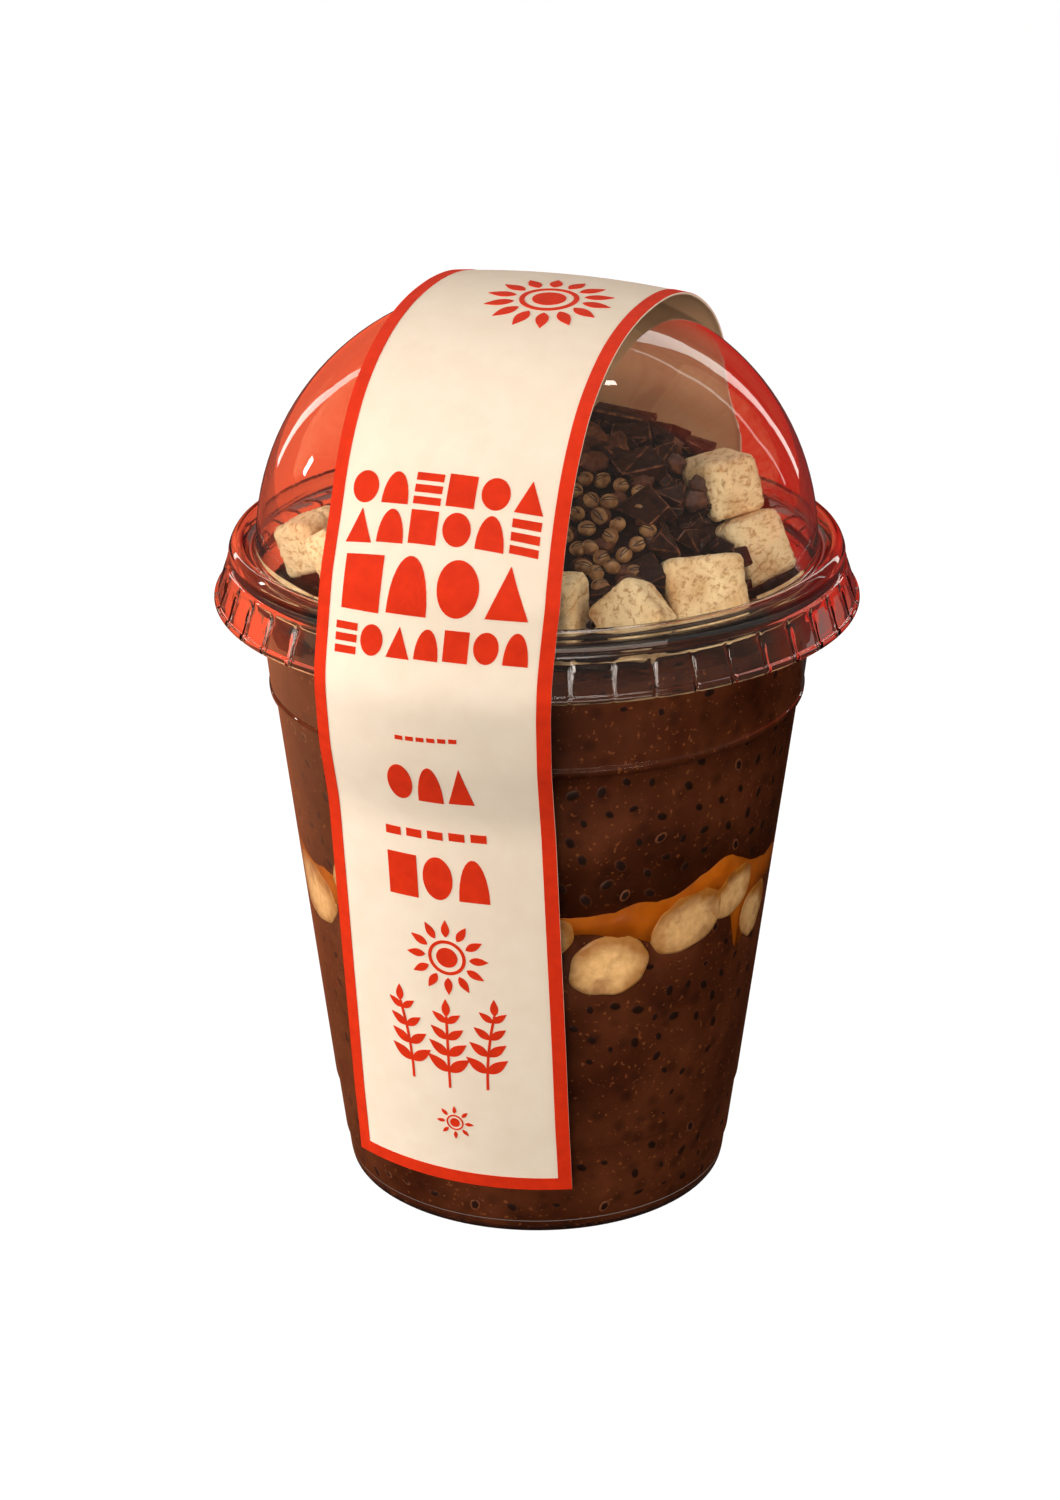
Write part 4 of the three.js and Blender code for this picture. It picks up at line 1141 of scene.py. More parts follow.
def pearl_tree(material, pearl):
    """A pearl on every point, with its own turn; all pearls are one size."""
    tree, given = node_group("Coffee Pearls", [("Size", "Float"), ("Seed", "Int")])
    points = add_node(tree, "GeometryNodeMeshToPoints", {"Mesh": given["Geometry"]})
    source = add_node(tree, "GeometryNodeObjectInfo", {"Object": pearl})
    turn = add_node(tree, "FunctionNodeRandomValue", {"Seed": given["Seed"]},
                    data_type="FLOAT_VECTOR")
    turn.inputs[0].default_value = (0.3, -0.6, -0.9)
    turn.inputs[1].default_value = (1.1, 0.6, 1.5)
    placed = add_node(tree, "GeometryNodeInstanceOnPoints", {
        "Points": points.outputs[0], "Instance": source.outputs["Geometry"],
        "Rotation": turn.outputs[0], "Scale": given["Size"]})
    end_tree(tree, placed.outputs[0], material)
    return tree


def make_heap(food):
    look = bpy.context.scene.chia_finishes
    dark = chocolate_finish(look)
    points, faces = heap_core(food)
    core = mesh_object("topping_core", points, faces, dark)
    store_factor(core, "edge", np.zeros(len(points)))
    finish_piece(core, "chocolate", "topping_heap")
    draw = np.random.default_rng(12)
    taken = []
    for x, y, size in HERO_CRISPS:
        taken.append((x, y, size))
    chunks = joined("chocolate_pieces", chunk_bodies(food, draw, taken), dark, False)
    finish_piece(chunks, "chocolate", "topping_heap")
    loose = []
    spots = heap_spots(food, draw, [], 6.5, 600, False)
    crisps = [(x, y, size, 1.2) for x, y, size in HERO_CRISPS]
    crisps += [(x, y, draw.uniform(2.6, 3.6), 0.9) for x, y in spots]
    crisps += [(x, y, draw.uniform(2.4, 3.2), -0.3)
               for x, y in heap_spots(food, draw, [], 2.9, 900, True)]
    for x, y, size, lift in crisps:
        crisp, crisp_faces = crisp_body(draw, size / 2)
        loose.append((crisp + (x, y, float(heap_top(food, x, y)) + lift), crisp_faces))
    crisps = joined("cocoa_crisps", loose, crisp_finish(look), True)
    finish_piece(crisps, "chocolate", "topping_heap")
    taken = [(x, y, 2.1) for x, y in HERO_PEARLS]
    spots = HERO_PEARLS + heap_spots(food, draw, taken, 2.1, 2500, True)
    places = [(x, y, float(heap_top(food, x, y)) + 1.0) for x, y in spots]
    pearl = pearl_mesh("pearl_shape")
    cloud = mesh_object("coffee_pearls", places, [], None)
    cloud = with_nodes(cloud, pearl_tree(pearl_finish(look), pearl), size=2.15 * MM, seed=4)
    bpy.data.objects.remove(pearl)
    finish_piece(cloud, "chocolate", "topping_heap")


# Path of the band up the front: distance in front of the axis, height, curl, slide sideways.
# Above the wall the curl is one over the radius, and on the wall a share of the wall's own.
BAND_WALL = [(7.8, 0.74, -0.9), (31, 0.68, -0.67), (62, 0.63, -0.57)]
BAND_BRIDGE = [(39.7, 72, 0.0216, 0.85), (42.4, 79.5, 0.0253, 1.6), (42.95, 81.6, 0.0253, 1.8),
               (42.65, 83.6, 0.025, 1.7), (41.4, 87.4, 0.0239, 1.6)]
BAND_BULGE = (2.8, 0.02, 2.15)
BAND_STEP, BAND_COLUMNS = 0.75, 27
BAND_DOME = [(25, 0.0198, 0.74), (49, 0.0071, 0.63), (65, 0.0071, 0.52), (90, 0.0071, 0.75)]


def dome_point(lid, band, elevation):
    turn, power = math.radians(elevation), lid.dome_exponent
    k = (abs(math.cos(turn)) ** power + abs(math.sin(turn)) ** power) ** (-1 / power)
    rise = band.top - band.thickness - lid.dome_foot
    return ((lid.dome_radius + 0.15) * k * math.cos(turn),
            lid.dome_foot + rise * k * math.sin(turn))


def smooth_line(stations, spacing, blur=4.5):
    """Points at even distances on the line through the stations, with its corners eased."""
    stations = np.array(stations, float)
    steps = np.linalg.norm(np.diff(stations[:, :2], axis=0), axis=1)
    along = np.r_[0, np.cumsum(steps)]
    where = np.linspace(0, along[-1], int(along[-1] / spacing) + 1)
    points = []
    for place in where:
        reach = min(blur / 2, place, along[-1] - place)
        near = np.linspace(place - reach, place + reach, 9)
        points.append([np.interp(near, along, column).mean() for column in stations.T])
    return np.array(points)


def band_line(cup, lid, band):
    """Stations of the whole band: distance in front of the axis, height, curl and slide."""
    front = []
    heights, curls, slides = zip(*BAND_WALL)
    for z in np.linspace(heights[0], heights[-1], 12):
        out = float(cup_radius(cup, z)) + band.gap
        front.append((out, z, np.interp(z, heights, curls) / out, np.interp(z, heights, slides)))
    front += BAND_BRIDGE
    foot, bead = dome_point(lid, band, BAND_DOME[0][0]), BAND_BRIDGE[-1]
    lift, curl, slide = BAND_BULGE
    front.append(((bead[0] + foot[0]) / 2 + lift, (bead[1] + foot[1]) / 2, curl, slide))
    angles, curls, slides = zip(*BAND_DOME)
    for elevation in np.linspace(angles[0], 90, 12):
        front.append((*dome_point(lid, band, elevation), np.interp(elevation, angles, curls),
                      np.interp(elevation, angles, slides)))
    front = smooth_line(front, BAND_STEP)
    back = front[-2::-1].copy()
    back[:, 0] *= -1
    back[:, 3] *= np.interp(back[:, 1], [95, 105], [0.3, 1])
    return np.vstack([front, back])


class BandSurface:
    """The band's surface: a place along it, across it and above the paper's inner side."""

    def __init__(self, cup, lid, band):
        self.line = band_line(cup, lid, band)
        steps = np.linalg.norm(np.diff(self.line[:, :2], axis=0), axis=1)
        self.along = np.r_[0, np.cumsum(steps)]
        self.length = self.along[-1]
        heading = np.gradient(self.line[:, :2], self.along, axis=0)
        heading /= np.linalg.norm(heading, axis=1)[:, None]
        self.facing = np.stack([heading[:, 1], -heading[:, 0]], -1)

    def at(self, along, across, lift):
        along, across = np.broadcast_arrays(np.asarray(along, float), across)
        out, height, curl, slide = (np.interp(along, self.along, self.line[:, i])
                                    for i in range(4))
        face_out, face_up = (np.interp(along, self.along, self.facing[:, i]) for i in range(2))
        radius = 1 / curl
        turn = (across + slide) * curl
        drop = radius * (1 - np.cos(turn)) - lift * np.cos(turn)
        return np.stack([(radius + lift) * np.sin(turn), -(out - face_out * drop),
                         height - face_up * drop], -1)


def paper_finish(look):
    """Uncoated cream paper, faintly fibrous, with its inner side painted darker as painted shade."""
    material, tree, shader = surface("Cream Paper", "uncoated paper band", roughness=0.9,
                                     specular_ior_level=0.2)
    place = object_place(tree)
    fibre = noise_texture(tree, place, 2600, 3)
    cloud = noise_texture(tree, place, 260, 3)
    # Painted shade: the inner side, marked back, is painted darker
    back = attribute_factor(tree, "back")
    base = mix_colour(tree, back, look.paper, look.paper_back_shade)
    shade = ramp(tree, cloud, [(0.3, srgb("#faf8f5")), (0.7, srgb("#ffffff"))])
    tree.links.new(mix_colour(tree, 1.0, base, shade, "MULTIPLY"), shader.inputs["Base Color"])
    bump(tree, shader, fibre, 0.12, 0.0001)
    return material


def ink_finish(look):
    """Red ink on paper."""
    material, tree, shader = surface("Red Ink", "matt red print", roughness=0.8,
                                     specular_ior_level=0.15)
    cloud = noise_texture(tree, object_place(tree), 500, 3)
    shade = ramp(tree, cloud, [(0.3, srgb("#ece4e0")), (0.7, srgb("#ffffff"))])
    tree.links.new(mix_colour(tree, 1.0, look.ink, shade, "MULTIPLY"),
                   shader.inputs["Base Color"])
    return material


class Print:
    """Flat shapes laid on the band, each a small grid of places along and across it."""

    def __init__(self, paper_surface, lift):
        self.surface, self.lift = paper_surface, lift
        self.points, self.faces = [], []

    def patch(self, along, across):
        """One shape from two equal grids, with a skirt that goes down into the paper."""
        along, across = np.asarray(along, float), np.asarray(across, float)
        rows, columns = along.shape
        start = sum(len(p) for p in self.points)
        top = self.surface.at(along, across, self.lift).reshape(-1, 3)
        self.points.append(top)
        self.faces += [tuple(start + i for i in face) for face in grid_faces(rows, columns)]
        index = np.arange(rows * columns).reshape(rows, columns)
        ring = np.r_[index[0, :-1], index[:-1, -1], index[-1, :0:-1], index[:0:-1, 0]]
        low = self.surface.at(along.flat[ring], across.flat[ring], self.lift - 0.12)
        self.points.append(low)
        base = start + rows * columns
        for k in range(len(ring)):
            after = (k + 1) % len(ring)
            self.faces.append((start + ring[k], base + k, base + after, start + ring[after]))

    def box(self, along, across, tall, wide, slant=0.0, narrow=1.0):
        """A bar round a centre; narrow is the upper side's share of the lower one."""
        v, u = np.meshgrid(np.linspace(-0.5, 0.5, max(2, int(tall / 0.8) + 2)),
                           np.linspace(-0.5, 0.5, max(2, int(wide / 0.8) + 2)), indexing="ij")
        share = 1 + (narrow - 1) * (v + 0.5)
        self.patch(along + v * tall, across + u * wide * share + v * tall * slant)

    def round(self, along, across, outer, inner=0.0, start=0.0, end=TAU, squash=1.0):
        """A disc, ring or sector; angle 0 points across and a quarter turn along."""
        turns = np.linspace(start, end, max(6, int((end - start) / TAU * 32)))
        radii = np.linspace(max(inner, 0.01), outer, max(2, int((outer - inner) / 0.8) + 2))
        r, t = np.meshgrid(radii, turns, indexing="ij")
        self.patch(along + r * np.sin(t) * squash, across + r * np.cos(t))

    def leaf(self, along, across, long, wide, turn):
        """A pointed leaf from its stalk end, at an angle in radians."""
        v, u = np.meshgrid(np.linspace(0.001, 0.999, 12), np.linspace(-1, 1, 5), indexing="ij")
        half = wide / 2 * np.sin(math.pi * v ** 0.8) * u
        a, b = v * long, half
        self.patch(along + a * math.sin(turn) + b * math.cos(turn),
                   across + a * math.cos(turn) - b * math.sin(turn))

    def stroke(self, path, wide):
        """A line of constant width through points (along, across)."""
        path = np.array(path, float)
        heading = np.gradient(path, axis=0)
        heading /= np.linalg.norm(heading, axis=1)[:, None]
        side = np.stack([heading[:, 1], -heading[:, 0]], -1) * wide / 2
        self.patch(np.stack([path[:, 0] - side[:, 0], path[:, 0] + side[:, 0]]),
                   np.stack([path[:, 1] - side[:, 1], path[:, 1] + side[:, 1]]))


# Rows of plain shapes on the front: middle along the band, height, width, number, pattern
PRINT_ROWS = [
    (102.4, 4.0, 25.6, 6, "dhbsdt"), (97.5, 4.4, 25.6, 6, "thsdhb"),
    (90.1, 7.2, 25.0, 4, "shdt"), (83.0, 3.9, 25.6, 7, "bdthsdh"),
    (62.3, 6.6, 12.0, 3, "dht"), (46.6, 6.2, 14.5, 3, "sdh"),
]
PRINT_LINES = [(70.3, 1.3, 8.4, 6), (52.9, 2.4, 14.5, 5)]
# Rise of a row for each millimetre across the band, and of the ink over the paper
PRINT_SLOPE = 0.045
PRINT_LIFT = 0.08


def shape_row(ink, middle, tall, wide, count, pattern):
    """A row of discs, half discs, bars, squares and triangles, all one height."""
    pitch = wide / count
    for k in range(count):
        across = (k + 0.5) * pitch - wide / 2
        along = middle + across * PRINT_SLOPE
        size = min(pitch * 0.84, tall * 1.15)
        kind = pattern[k % len(pattern)]
        if kind == "d":
            ink.round(along, across, size / 2, squash=tall / size)
        elif kind == "h":
            ink.round(along - tall / 2, across, size / 2, 0, 0, math.pi, squash=2 * tall / size)
        elif kind == "s":
            ink.box(along, across, tall, size)
        elif kind == "t":
            ink.box(along, across, tall, size, narrow=0.02)
        else:
            for step in (-1, 0, 1):
                ink.box(along + step * tall * 0.37, across, tall * 0.24, size)


def sprig(ink, along, across, long, lean, leaves, size):
    """A stalk with leaves in pairs."""
    path = []
    for t in np.linspace(0, 1, 14):
        path.append((along + long * t, across + lean * long * t * t))
    ink.stroke(path, 0.35)
    for k in range(leaves):
        t = (k + 1) / (leaves + 0.4)
        at = (along + long * t, across + lean * long * t * t)
        reach = size * (1.1 - 0.5 * t)
        ink.leaf(*at, reach, reach * 0.42, math.radians(38))
        ink.leaf(*at, reach, reach * 0.42, math.radians(142))
    ink.leaf(along + long, across + lean * long, size * 0.7, size * 0.3, math.radians(90))


def sunburst(ink, along, across, radius, rays):
    """A plain rosette: a disc, a ring and rays."""
    ink.round(along, across, radius * 0.26)
    ink.round(along, across, radius * 0.46, radius * 0.38)
    for k in range(rays):
        turn = TAU * k / rays
        ink.leaf(along + radius * 0.54 * math.sin(turn), across + radius * 0.54 * math.cos(turn),
                 radius * 0.46, radius * 0.2, turn)


def make_band(cup, lid, band):
    look = bpy.context.scene.chia_finishes
    shape = BandSurface(cup, lid, band)
    along = np.arange(0, shape.length, BAND_STEP)
    along = np.r_[along, shape.length]
    across = np.linspace(-band.half_width, band.half_width, BAND_COLUMNS)
    a, b = np.meshgrid(along, across, indexing="ij")
    inner = shape.at(a, b, 0).reshape(-1, 3)
    outer = shape.at(a, b, band.thickness).reshape(-1, 3)
    rows, columns = a.shape
    count = rows * columns
    faces = [face[::-1] for face in grid_faces(rows, columns)]
    faces += [tuple(count + i for i in face) for face in grid_faces(rows, columns)]
    index = np.arange(count).reshape(rows, columns)
    ring = np.r_[index[0, :-1], index[:-1, -1], index[-1, :0:-1], index[:0:-1, 0]]
    for k in range(len(ring)):
        after = ring[(k + 1) % len(ring)]
        faces.append((ring[k], after, count + after, count + ring[k]))
    paper = mesh_object("paper_band", np.vstack([inner, outer]), faces, paper_finish(look))
    # Marks the inner side, which the paper finish paints darker as painted shade
    store_factor(paper, "back", np.r_[np.ones(count), np.zeros(count)])
    finish_piece(paper, "paper", "label_band")

    ink = Print(shape, band.thickness + PRINT_LIFT)
    edge = band.half_width - band.border / 2
    full = shape.length
    for side in (-1, 1):
        v = np.arange(0.02, full, BAND_STEP)
        inner_edge = side * (edge - band.border / 2)
        outer_edge = side * (edge + band.border / 2 - 0.02)
        u = np.linspace(inner_edge, outer_edge, 4)[::side]
        ink.patch(*np.meshgrid(v, u, indexing="ij"))
    for end in (band.border / 2 + 0.02, full - band.border / 2 - 0.02):
        ink.box(end, 0, band.border, 2 * (edge - band.border / 2))
    for middle, tall, wide, number, pattern in PRINT_ROWS:
        shape_row(ink, middle, tall, wide, number, pattern)
    for middle, tall, wide, number in PRINT_LINES:
        pitch = wide / number
        for k in range(number):
            place = (k + 0.5) * pitch - wide / 2
            ink.box(middle + place * PRINT_SLOPE, place, tall * 0.5, pitch * 0.72)
    sunburst(ink, 35.0, 0.6, 5.6, 12)
    sprig(ink, 15.5, -5.2, 11.5, -0.12, 4, 3.6)
    sprig(ink, 15.5, 5.2, 11.5, 0.12, 4, 3.6)
    sprig(ink, 15.0, 0.0, 11.0, 0.0, 4, 3.8)
    sunburst(ink, 9.6, 0.4, 2.6, 8)
    sunburst(ink, 136.0, 3.0, 8.2, 14)
    red = mesh_object("printed_shapes", np.vstack(ink.points), ink.faces, ink_finish(look),
                      False)
    finish_piece(red, "paper")


VIEW_AZIMUTH, VIEW_DOWN, VIEW_DISTANCE = 21.0, 21.57, 0.480
VIEW_HEIGHT, SENSOR_HEIGHT = 0.060, 36
FOCAL_PIXELS, PHOTO_SIZE, PRINCIPAL = 3591.0, (1060, 1500), (537.0, 743.9)


def make_camera():
    turn, down = math.radians(VIEW_AZIMUTH), math.radians(VIEW_DOWN)
    target = Vector((0, 0, VIEW_HEIGHT))
    eye = target + VIEW_DISTANCE * Vector((math.sin(turn) * math.cos(down),
                                           -math.cos(turn) * math.cos(down), math.sin(down)))
    data = bpy.data.cameras.new("photo_camera")
    data.sensor_fit = "VERTICAL"
    data.sensor_height = SENSOR_HEIGHT
    data.lens = FOCAL_PIXELS / PHOTO_SIZE[1] * SENSOR_HEIGHT
    data.shift_x = -(PRINCIPAL[0] - PHOTO_SIZE[0] / 2) / PHOTO_SIZE[1]
    data.shift_y = -(PHOTO_SIZE[1] / 2 - PRINCIPAL[1]) / PHOTO_SIZE[1]
    camera = bpy.data.objects.new("photo_camera", data)
    camera.location = eye
    camera.rotation_euler = (target - eye).to_track_quat("-Z", "Y").to_euler()
    bpy.context.scene.collection.objects.link(camera)
    bpy.context.scene.camera = camera
    return camera


# Area lights: name, azimuth from the view, elevation, distance, width, height, watts, colour
# and whether reflections show them
LIGHTS = [
    ("key", -50, 10, 0.75, 0.45, 0.45, 3.1, "#fff5ec", True),
    ("front", -12, 16, 0.80, 0.28, 0.28, 2.2, "#fff3e8", True),
    ("top", 40, 60, 0.70, 0.35, 0.35, 0.6, "#fff6ee", False),
    ("left_soft", -98, 12, 0.60, 0.22, 0.45, 2.9, "#fff6ee", False),
    ("right_soft", 70, 25, 0.65, 0.10, 0.40, 1.9, "#fff6ee", False),
]
# Windows that only reflections show: azimuth from the view and elevation of their middle
# line, half width in degrees at each point, and strength
WINDOWS = [
    ([(180, 56, 6), (168, 49, 6), (157, 43, 5), (153, 37, 5), (150, 31, 4.5), (145, 25, 4),
      (142, 17, 3), (140, 7, 2), (142, -6, 1.5)], 3.6),
    ([(146, 49, 0.9), (133, 41, 0.9), (127, 29, 0.8), (123, 15, 0.7), (126, 0, 0.6)], 2.6),
    ([(-180, 56, 4), (-165, 49, 4), (-150, 38, 2.5), (-141, 27, 1.6), (-140, 16, 2.2),
      (-143, 4, 2.2), (-144, -5, 1.6)], 4.0),
    ([(116, 69, 1.2), (116, 65, 1.2)], 20.0),
    ([(-118, 12, 1.2), (-118, 7, 1.2)], 20.0),
    ([(0, 62, 14), (0, 90, 18), (0, 118, 14)], 6.0),
]
# Millimetres from here on: the windows, the red room, and the table and the light on it that
# only reflections show
WINDOW_HEIGHT, WINDOW_DISTANCE = 105, 800
ROOM_RADIUS, ROOM_SIDES, ROOM_GLOW = 900.0, 96, 1.1
TABLE_HALF, TABLE_HEIGHT, TABLE_GLOW = 180, 1.5, 1.0
STRIP_RADII, STRIP_SPAN, STRIP_STEPS, STRIP_GLOW = (178, 240), (-35, 45), 28, 3.0
BACKDROP_HEIGHT = 2.0
# Strength of the world: the floor of it, what is added for the eye and for diffuse light, and
# what reflections lose
WORLD_BASE, WORLD_SEEN, WORLD_SOFT, WORLD_LOST = 0.2, 0.85, 0.02, 0.17
# A light path has crossed more walls than this once it is under the dome
DOME_WALLS = 3.5
# Height that the lamps point at, in metres
LAMP_AIM = 0.08


def make_lights():
    lamps = []
    for name, azimuth, elevation, distance, wide, tall, watts, tint, mirrored in LIGHTS:
        turn = math.radians(VIEW_AZIMUTH + azimuth)
        climb = math.radians(elevation)
        data = bpy.data.lights.new(name, "AREA")
        data.shape = "RECTANGLE"
        data.size, data.size_y = wide, tall
        data.energy = watts
        data.color = srgb(tint)[:3]
        lamp = bpy.data.objects.new(name, data)
        lamp.visible_glossy = lamp.visible_transmission = mirrored
        lamp.location = Vector((0, 0, LAMP_AIM)) + distance * Vector((
            math.sin(turn) * math.cos(climb), -math.cos(turn) * math.cos(climb),
            math.sin(climb)))
        lamp.rotation_euler = (Vector((0, 0, LAMP_AIM)) - lamp.location).to_track_quat(
            "-Z", "Y").to_euler()
        bpy.context.scene.collection.objects.link(lamp)
        lamps.append(lamp)
    return lamps


def make_world():
    """White to the eye, dim to reflections, and soft light on the food."""
    world = bpy.data.worlds.new("studio")
    world.use_nodes = True
    tree = world.node_tree
    tree.nodes.clear()
    path = add_node(tree, "ShaderNodeLightPath").outputs
    seen = maths(tree, "MULTIPLY", path["Is Camera Ray"], WORLD_SEEN)
    soft = maths(tree, "MULTIPLY", path["Is Diffuse Ray"], WORLD_SOFT)
    strength = maths(tree, "ADD", maths(tree, "ADD", seen, soft), WORLD_BASE)
    dark = maths(tree, "MULTIPLY", path["Is Glossy Ray"], WORLD_LOST)
    strength = maths(tree, "SUBTRACT", strength, dark)
    back = add_node(tree, "ShaderNodeBackground", {"Color": srgb("#ffffff"),
                                                   "Strength": strength})
    add_node(tree, "ShaderNodeOutputWorld", {"Surface": back.outputs[0]})
    bpy.context.scene.world = world


def glow_material(name, tint, strength):
    """Light that stops at the food, so that it colours the clear plastic alone.

    Past the food a ray has scattered, or has been mirrored under the dome.
    """
    material = bpy.data.materials.new(name)
    material.use_nodes = True
    tree = material.node_tree
    tree.nodes.clear()
    colour_in = tint(tree) if callable(tint) else tint
    glow = add_node(tree, "ShaderNodeEmission", {"Color": colour_in, "Strength": strength})
    empty = add_node(tree, "ShaderNodeBsdfTransparent")
    path = add_node(tree, "ShaderNodeLightPath").outputs
    under_dome = maths(tree, "MULTIPLY", maths(tree, "GREATER_THAN", path["Glossy Depth"], 0.5),
                       maths(tree, "GREATER_THAN", path["Transmission Depth"], DOME_WALLS))
    past_food = maths(tree, "MAXIMUM", under_dome,
                      maths(tree, "GREATER_THAN", path["Diffuse Depth"], 0.5))
    both = add_node(tree, "ShaderNodeMixShader", {
        0: past_food, 1: glow.outputs[0], 2: empty.outputs[0]})
    add_node(tree, "ShaderNodeOutputMaterial", {"Surface": both.outputs[0]})
    return material


def hide_from(piece, *rays):
    for ray in rays:
        setattr(piece, "visible_" + ray, False)
    return piece


def view_way(tree, forward):
    """Distance in metres from the axis, to the right or away from the camera."""
    turn = math.radians(VIEW_AZIMUTH)
    way = (-math.sin(turn), math.cos(turn), 0) if forward else (math.cos(turn), math.sin(turn), 0)
    return add_node(tree, "ShaderNodeVectorMath", {0: object_place(tree), 1: way},
                    operation="DOT_PRODUCT").outputs["Value"]


def between(tree, value, low, high):
    """0 below low, 1 above high."""
    return add_node(tree, "ShaderNodeMapRange", {
        "Value": value, "From Min": low, "From Max": high}).outputs[0]


def room_tint(tree):
    """Red behind the cup, brighter on the left; grey close behind it and in front."""
    across, away = view_way(tree, False), view_way(tree, True)
    far = between(tree, away, 0.228, 0.25)
    lateral = between(tree, across, -0.06, 0.1)
    near_red = ramp(tree, lateral, [(0.0, srgb("#ff5c3c")), (0.7, srgb("#bc5648"))])
    far_red = ramp(tree, lateral, [(0.0, srgb("#ff6340")), (0.5, srgb("#c82c1c")),
                                   (1.0, srgb("#c42a20"))])
    red = mix_colour(tree, far, near_red, far_red)
    aside = maths(tree, "MAXIMUM", between(tree, across, 0.057, 0.066),
                  between(tree, maths(tree, "MULTIPLY", across, -1), 0.044, 0.054))
    behind = between(tree, away, -0.05, 0.05)
    share = maths(tree, "MULTIPLY", maths(tree, "MAXIMUM", aside, far), behind)
    return mix_colour(tree, share, srgb("#6a615c"), red)


def table_tint(tree):
    """What the wall mirrors from the table: warm on the left and dark on the right."""
    return ramp(tree, between(tree, view_way(tree, False), -0.15, 0.1), [
        (0.0, srgb("#f09a70")), (0.35, srgb("#a85c3c")), (0.6, srgb("#4a2618")),
        (1.0, srgb("#1c0c08"))])


def ladder_faces(steps):
    """Quads of a ribbon whose points run in pairs."""
    return [(2 * i, 2 * i + 1, 2 * i + 3, 2 * i + 2) for i in range(steps)]


def make_backdrop():
    """A round red room that the plastic shows, and a table that only gloss shows."""
    red = glow_material("Red Studio Wall", room_tint, ROOM_GLOW)
    red.cycles.emission_sampling = "NONE"
    turn = np.arange(ROOM_SIDES) * TAU / ROOM_SIDES
    foot = around(ROOM_RADIUS, turn, BACKDROP_HEIGHT)
    top = around(ROOM_RADIUS, turn, ROOM_RADIUS)
    faces = grid_faces(2, ROOM_SIDES, wrap_columns=True)
    room = mesh_object("red_studio_room", np.vstack([foot, top]),
                       faces + [tuple(range(ROOM_SIDES, 2 * ROOM_SIDES))], red)
    ground = mesh_object("red_studio_ground", foot, [tuple(range(ROOM_SIDES))], red)
    corners = [(x * TABLE_HALF, y * TABLE_HALF, TABLE_HEIGHT)
               for x, y in ((-1, -1), (1, -1), (1, 1), (-1, 1))]
    table = mesh_object("mirrored_table", corners, [(0, 1, 2, 3)],
                        glow_material("Warm Table", table_tint, TABLE_GLOW))
    turn = np.radians(VIEW_AZIMUTH + np.linspace(*STRIP_SPAN, STRIP_STEPS + 1))
    points = np.stack([around(radius, turn, BACKDROP_HEIGHT) for radius in STRIP_RADII],
                      1).reshape(-1, 3)
    strip = mesh_object("mirrored_strip", points, ladder_faces(STRIP_STEPS),
                        glow_material("Table Light", srgb("#ffe8d6"), STRIP_GLOW))
    for piece in (room, ground, table, strip):
        hide_from(piece, "camera", "diffuse", "shadow", "volume_scatter")
    hide_from(ground, "glossy")
    for piece in (table, strip):
        hide_from(piece, "transmission")
    return room, ground, table, strip


def make_windows():
    """Bright strips that the dome, the rim and the wall mirror."""
    windows = []
    centre = Vector((0, 0, WINDOW_HEIGHT))
    for index, (line, strength) in enumerate(WINDOWS):
        points = []
        line = np.array(line, float)
        t = np.linspace(0, len(line) - 1, 8 * len(line))
        for azimuth, elevation, half in zip(*(np.interp(t, range(len(line)), c)
                                              for c in line.T)):
            turn, climb = math.radians(VIEW_AZIMUTH + azimuth), math.radians(elevation)
            out = Vector((math.sin(turn) * math.cos(climb), -math.cos(turn) * math.cos(climb),
                          math.sin(climb)))
            side = Vector((math.cos(turn), math.sin(turn), 0)) * math.tan(math.radians(half))
            points += [centre + WINDOW_DISTANCE * (out - side),
                       centre + WINDOW_DISTANCE * (out + side)]
        window = mesh_object(f"window_{index}", points, ladder_faces(len(t) - 1), glow_material(
            f"Window Light {index}", srgb("#fff6ee"), strength))
        windows.append(hide_from(window, "camera", "diffuse", "shadow", "transmission",
                                 "volume_scatter"))
    return windows


def make_floor():
    material = surface("Pale Floor", "plain pale table", base_color=srgb("#505050"),
                       roughness=0.8, emission_color=srgb("#ffffff"), emission_strength=0.97)[0]
    points = [(-1500, -1500, 0), (1500, -1500, 0), (1500, 1500, 0), (-1500, 1500, 0)]
    floor = mesh_object("pale_floor", points, [(0, 1, 2, 3)], material)
    return hide_from(floor, "glossy", "transmission", "diffuse")


class PieceOperator:
    """What every operator of this add-on shares."""
    bl_options = {"REGISTER", "UNDO"}

    def execute(self, context):
        scene = context.scene
        self.build(sizes(scene.chia_cup), sizes(scene.chia_lid), sizes(scene.chia_band),
                   sizes(scene.chia_food))
        return {"FINISHED"}


class CHIA_OT_cup(PieceOperator, bpy.types.Operator):
    """Builds the clear tapered cup."""
    bl_idname = "chia.cup"
    bl_label = "Clear Cup"

    def build(self, cup, lid, band, food):
        make_cup(cup)


class CHIA_OT_lid(PieceOperator, bpy.types.Operator):
    """Builds the clear domed lid with its ribbed skirt."""
    bl_idname = "chia.lid"
    bl_label = "Domed Lid"

    def build(self, cup, lid, band, food):
        make_lid(lid)


class CHIA_OT_pudding(PieceOperator, bpy.types.Operator):
    """Builds both layers of pudding and their seeds."""
    bl_idname = "chia.pudding"
    bl_label = "Chia Pudding"

    def build(self, cup, lid, band, food):
        make_pudding(cup, food)


class CHIA_OT_caramel(PieceOperator, bpy.types.Operator):
    """Builds the wavy layer of caramel."""
    bl_idname = "chia.caramel"
    bl_label = "Caramel"

    def build(self, cup, lid, band, food):
        make_caramel(cup, food)


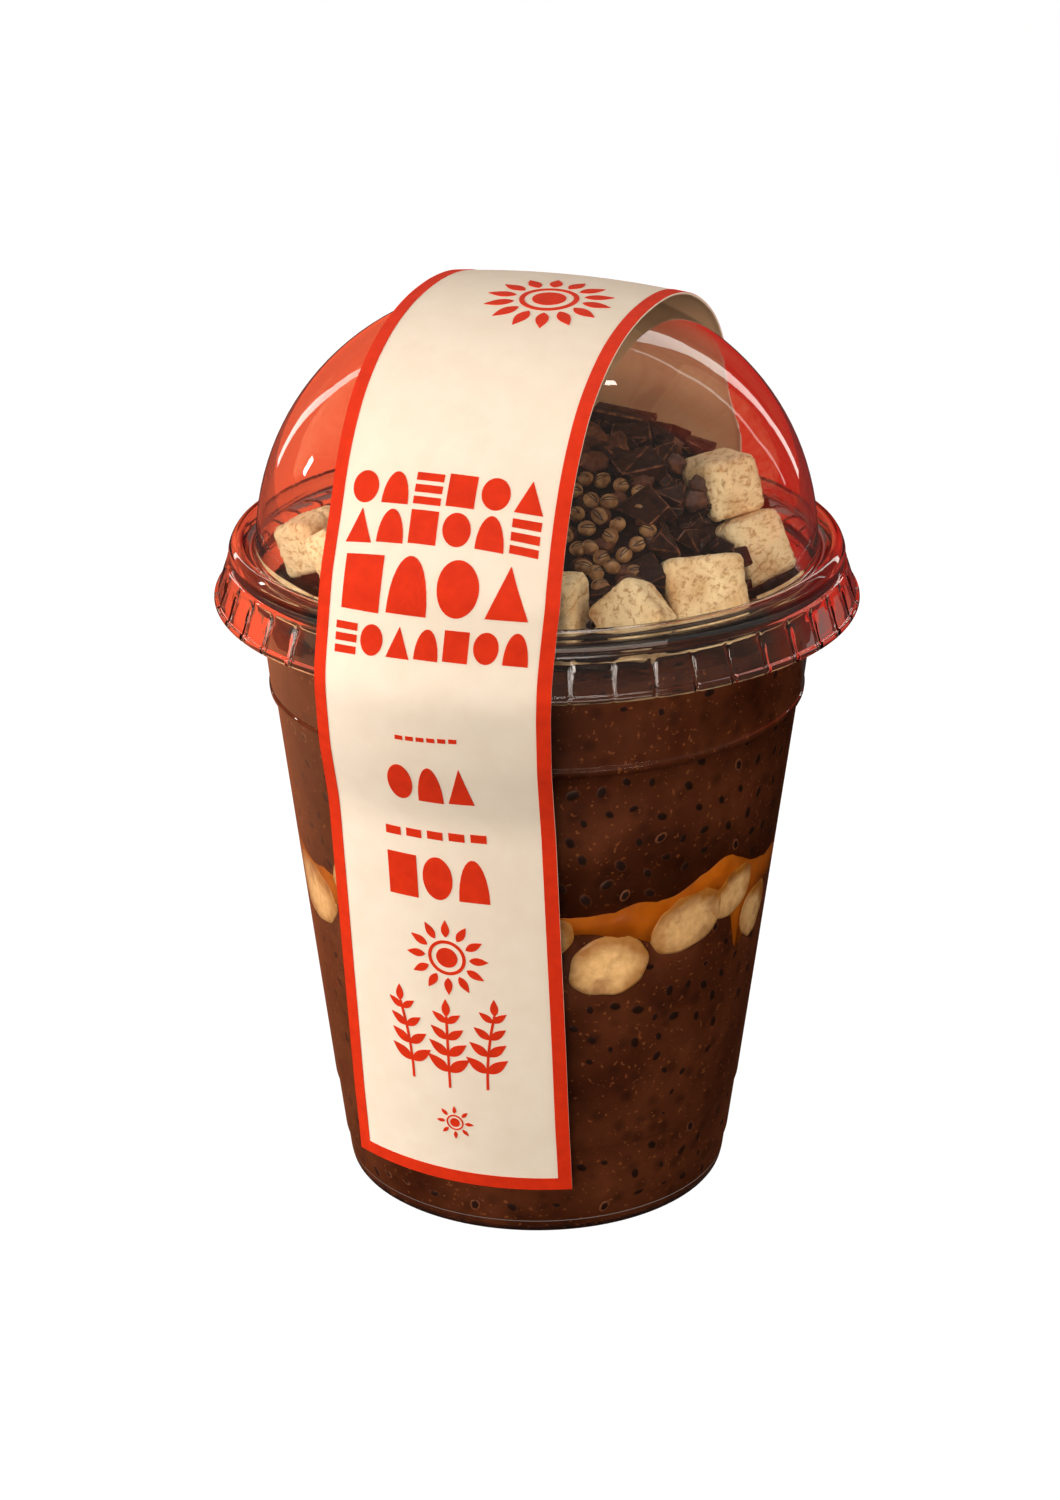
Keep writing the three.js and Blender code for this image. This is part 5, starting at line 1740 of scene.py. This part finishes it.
class CHIA_OT_slices(PieceOperator, bpy.types.Operator):
    """Builds the banana slices that lie against the wall."""
    bl_idname = "chia.slices"
    bl_label = "Banana Slices"

    def build(self, cup, lid, band, food):
        make_slices(cup, food)


class CHIA_OT_cubes(PieceOperator, bpy.types.Operator):
    """Builds the crisp banana cubes."""
    bl_idname = "chia.cubes"
    bl_label = "Banana Cubes"

    def build(self, cup, lid, band, food):
        make_cubes()


class CHIA_OT_heap(PieceOperator, bpy.types.Operator):
    """Builds the heap of chocolate, crisps and pearls."""
    bl_idname = "chia.heap"
    bl_label = "Toppings"

    def build(self, cup, lid, band, food):
        make_heap(food)


class CHIA_OT_band(PieceOperator, bpy.types.Operator):
    """Builds the paper band and its plain print."""
    bl_idname = "chia.band"
    bl_label = "Paper Band"

    def build(self, cup, lid, band, food):
        make_band(cup, lid, band)


class CHIA_OT_stage(bpy.types.Operator):
    """Builds the floor, the lights, the backdrop and the camera."""
    bl_idname = "chia.stage"
    bl_label = "Studio"
    bl_options = {"REGISTER", "UNDO"}

    def execute(self, context):
        context.scene.view_settings.view_transform = "Standard"
        make_world()
        make_floor()
        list(make_backdrop())
        make_camera()
        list(make_lights())
        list(make_windows())
        return {"FINISHED"}


OPERATORS = (CHIA_OT_cup, CHIA_OT_lid, CHIA_OT_pudding, CHIA_OT_caramel, CHIA_OT_slices,
             CHIA_OT_cubes, CHIA_OT_heap, CHIA_OT_band, CHIA_OT_stage)
GROUPS = {"chia_cup": CupSizes, "chia_lid": LidSizes, "chia_band": BandSizes,
          "chia_food": FoodSizes, "chia_finishes": Finishes}


class CHIA_PT_panel(bpy.types.Panel):
    """Lists the steps that build the cup."""
    bl_idname = "CHIA_PT_panel"
    bl_label = "Chia Pudding Cup"
    bl_space_type = "VIEW_3D"
    bl_region_type = "UI"
    bl_category = "Chia Cup"

    def draw(self, context):
        for operator in OPERATORS:
            self.layout.operator(operator.bl_idname)
        for name, group in GROUPS.items():
            box = self.layout.box()
            for item in group.__annotations__:
                box.prop(getattr(context.scene, name), item)


def register():
    for item in (*GROUPS.values(), *OPERATORS, CHIA_PT_panel):
        bpy.utils.register_class(item)
    for name, group in GROUPS.items():
        setattr(bpy.types.Scene, name, PointerProperty(type=group))


def unregister():
    for name in GROUPS:
        delattr(bpy.types.Scene, name)
    for item in reversed((*GROUPS.values(), *OPERATORS, CHIA_PT_panel)):
        bpy.utils.unregister_class(item)


def main():
    register()
    for operator in OPERATORS:
        area, name = operator.bl_idname.split(".")
        getattr(getattr(bpy.ops, area), name)()


if __name__ == "__main__":
    main()
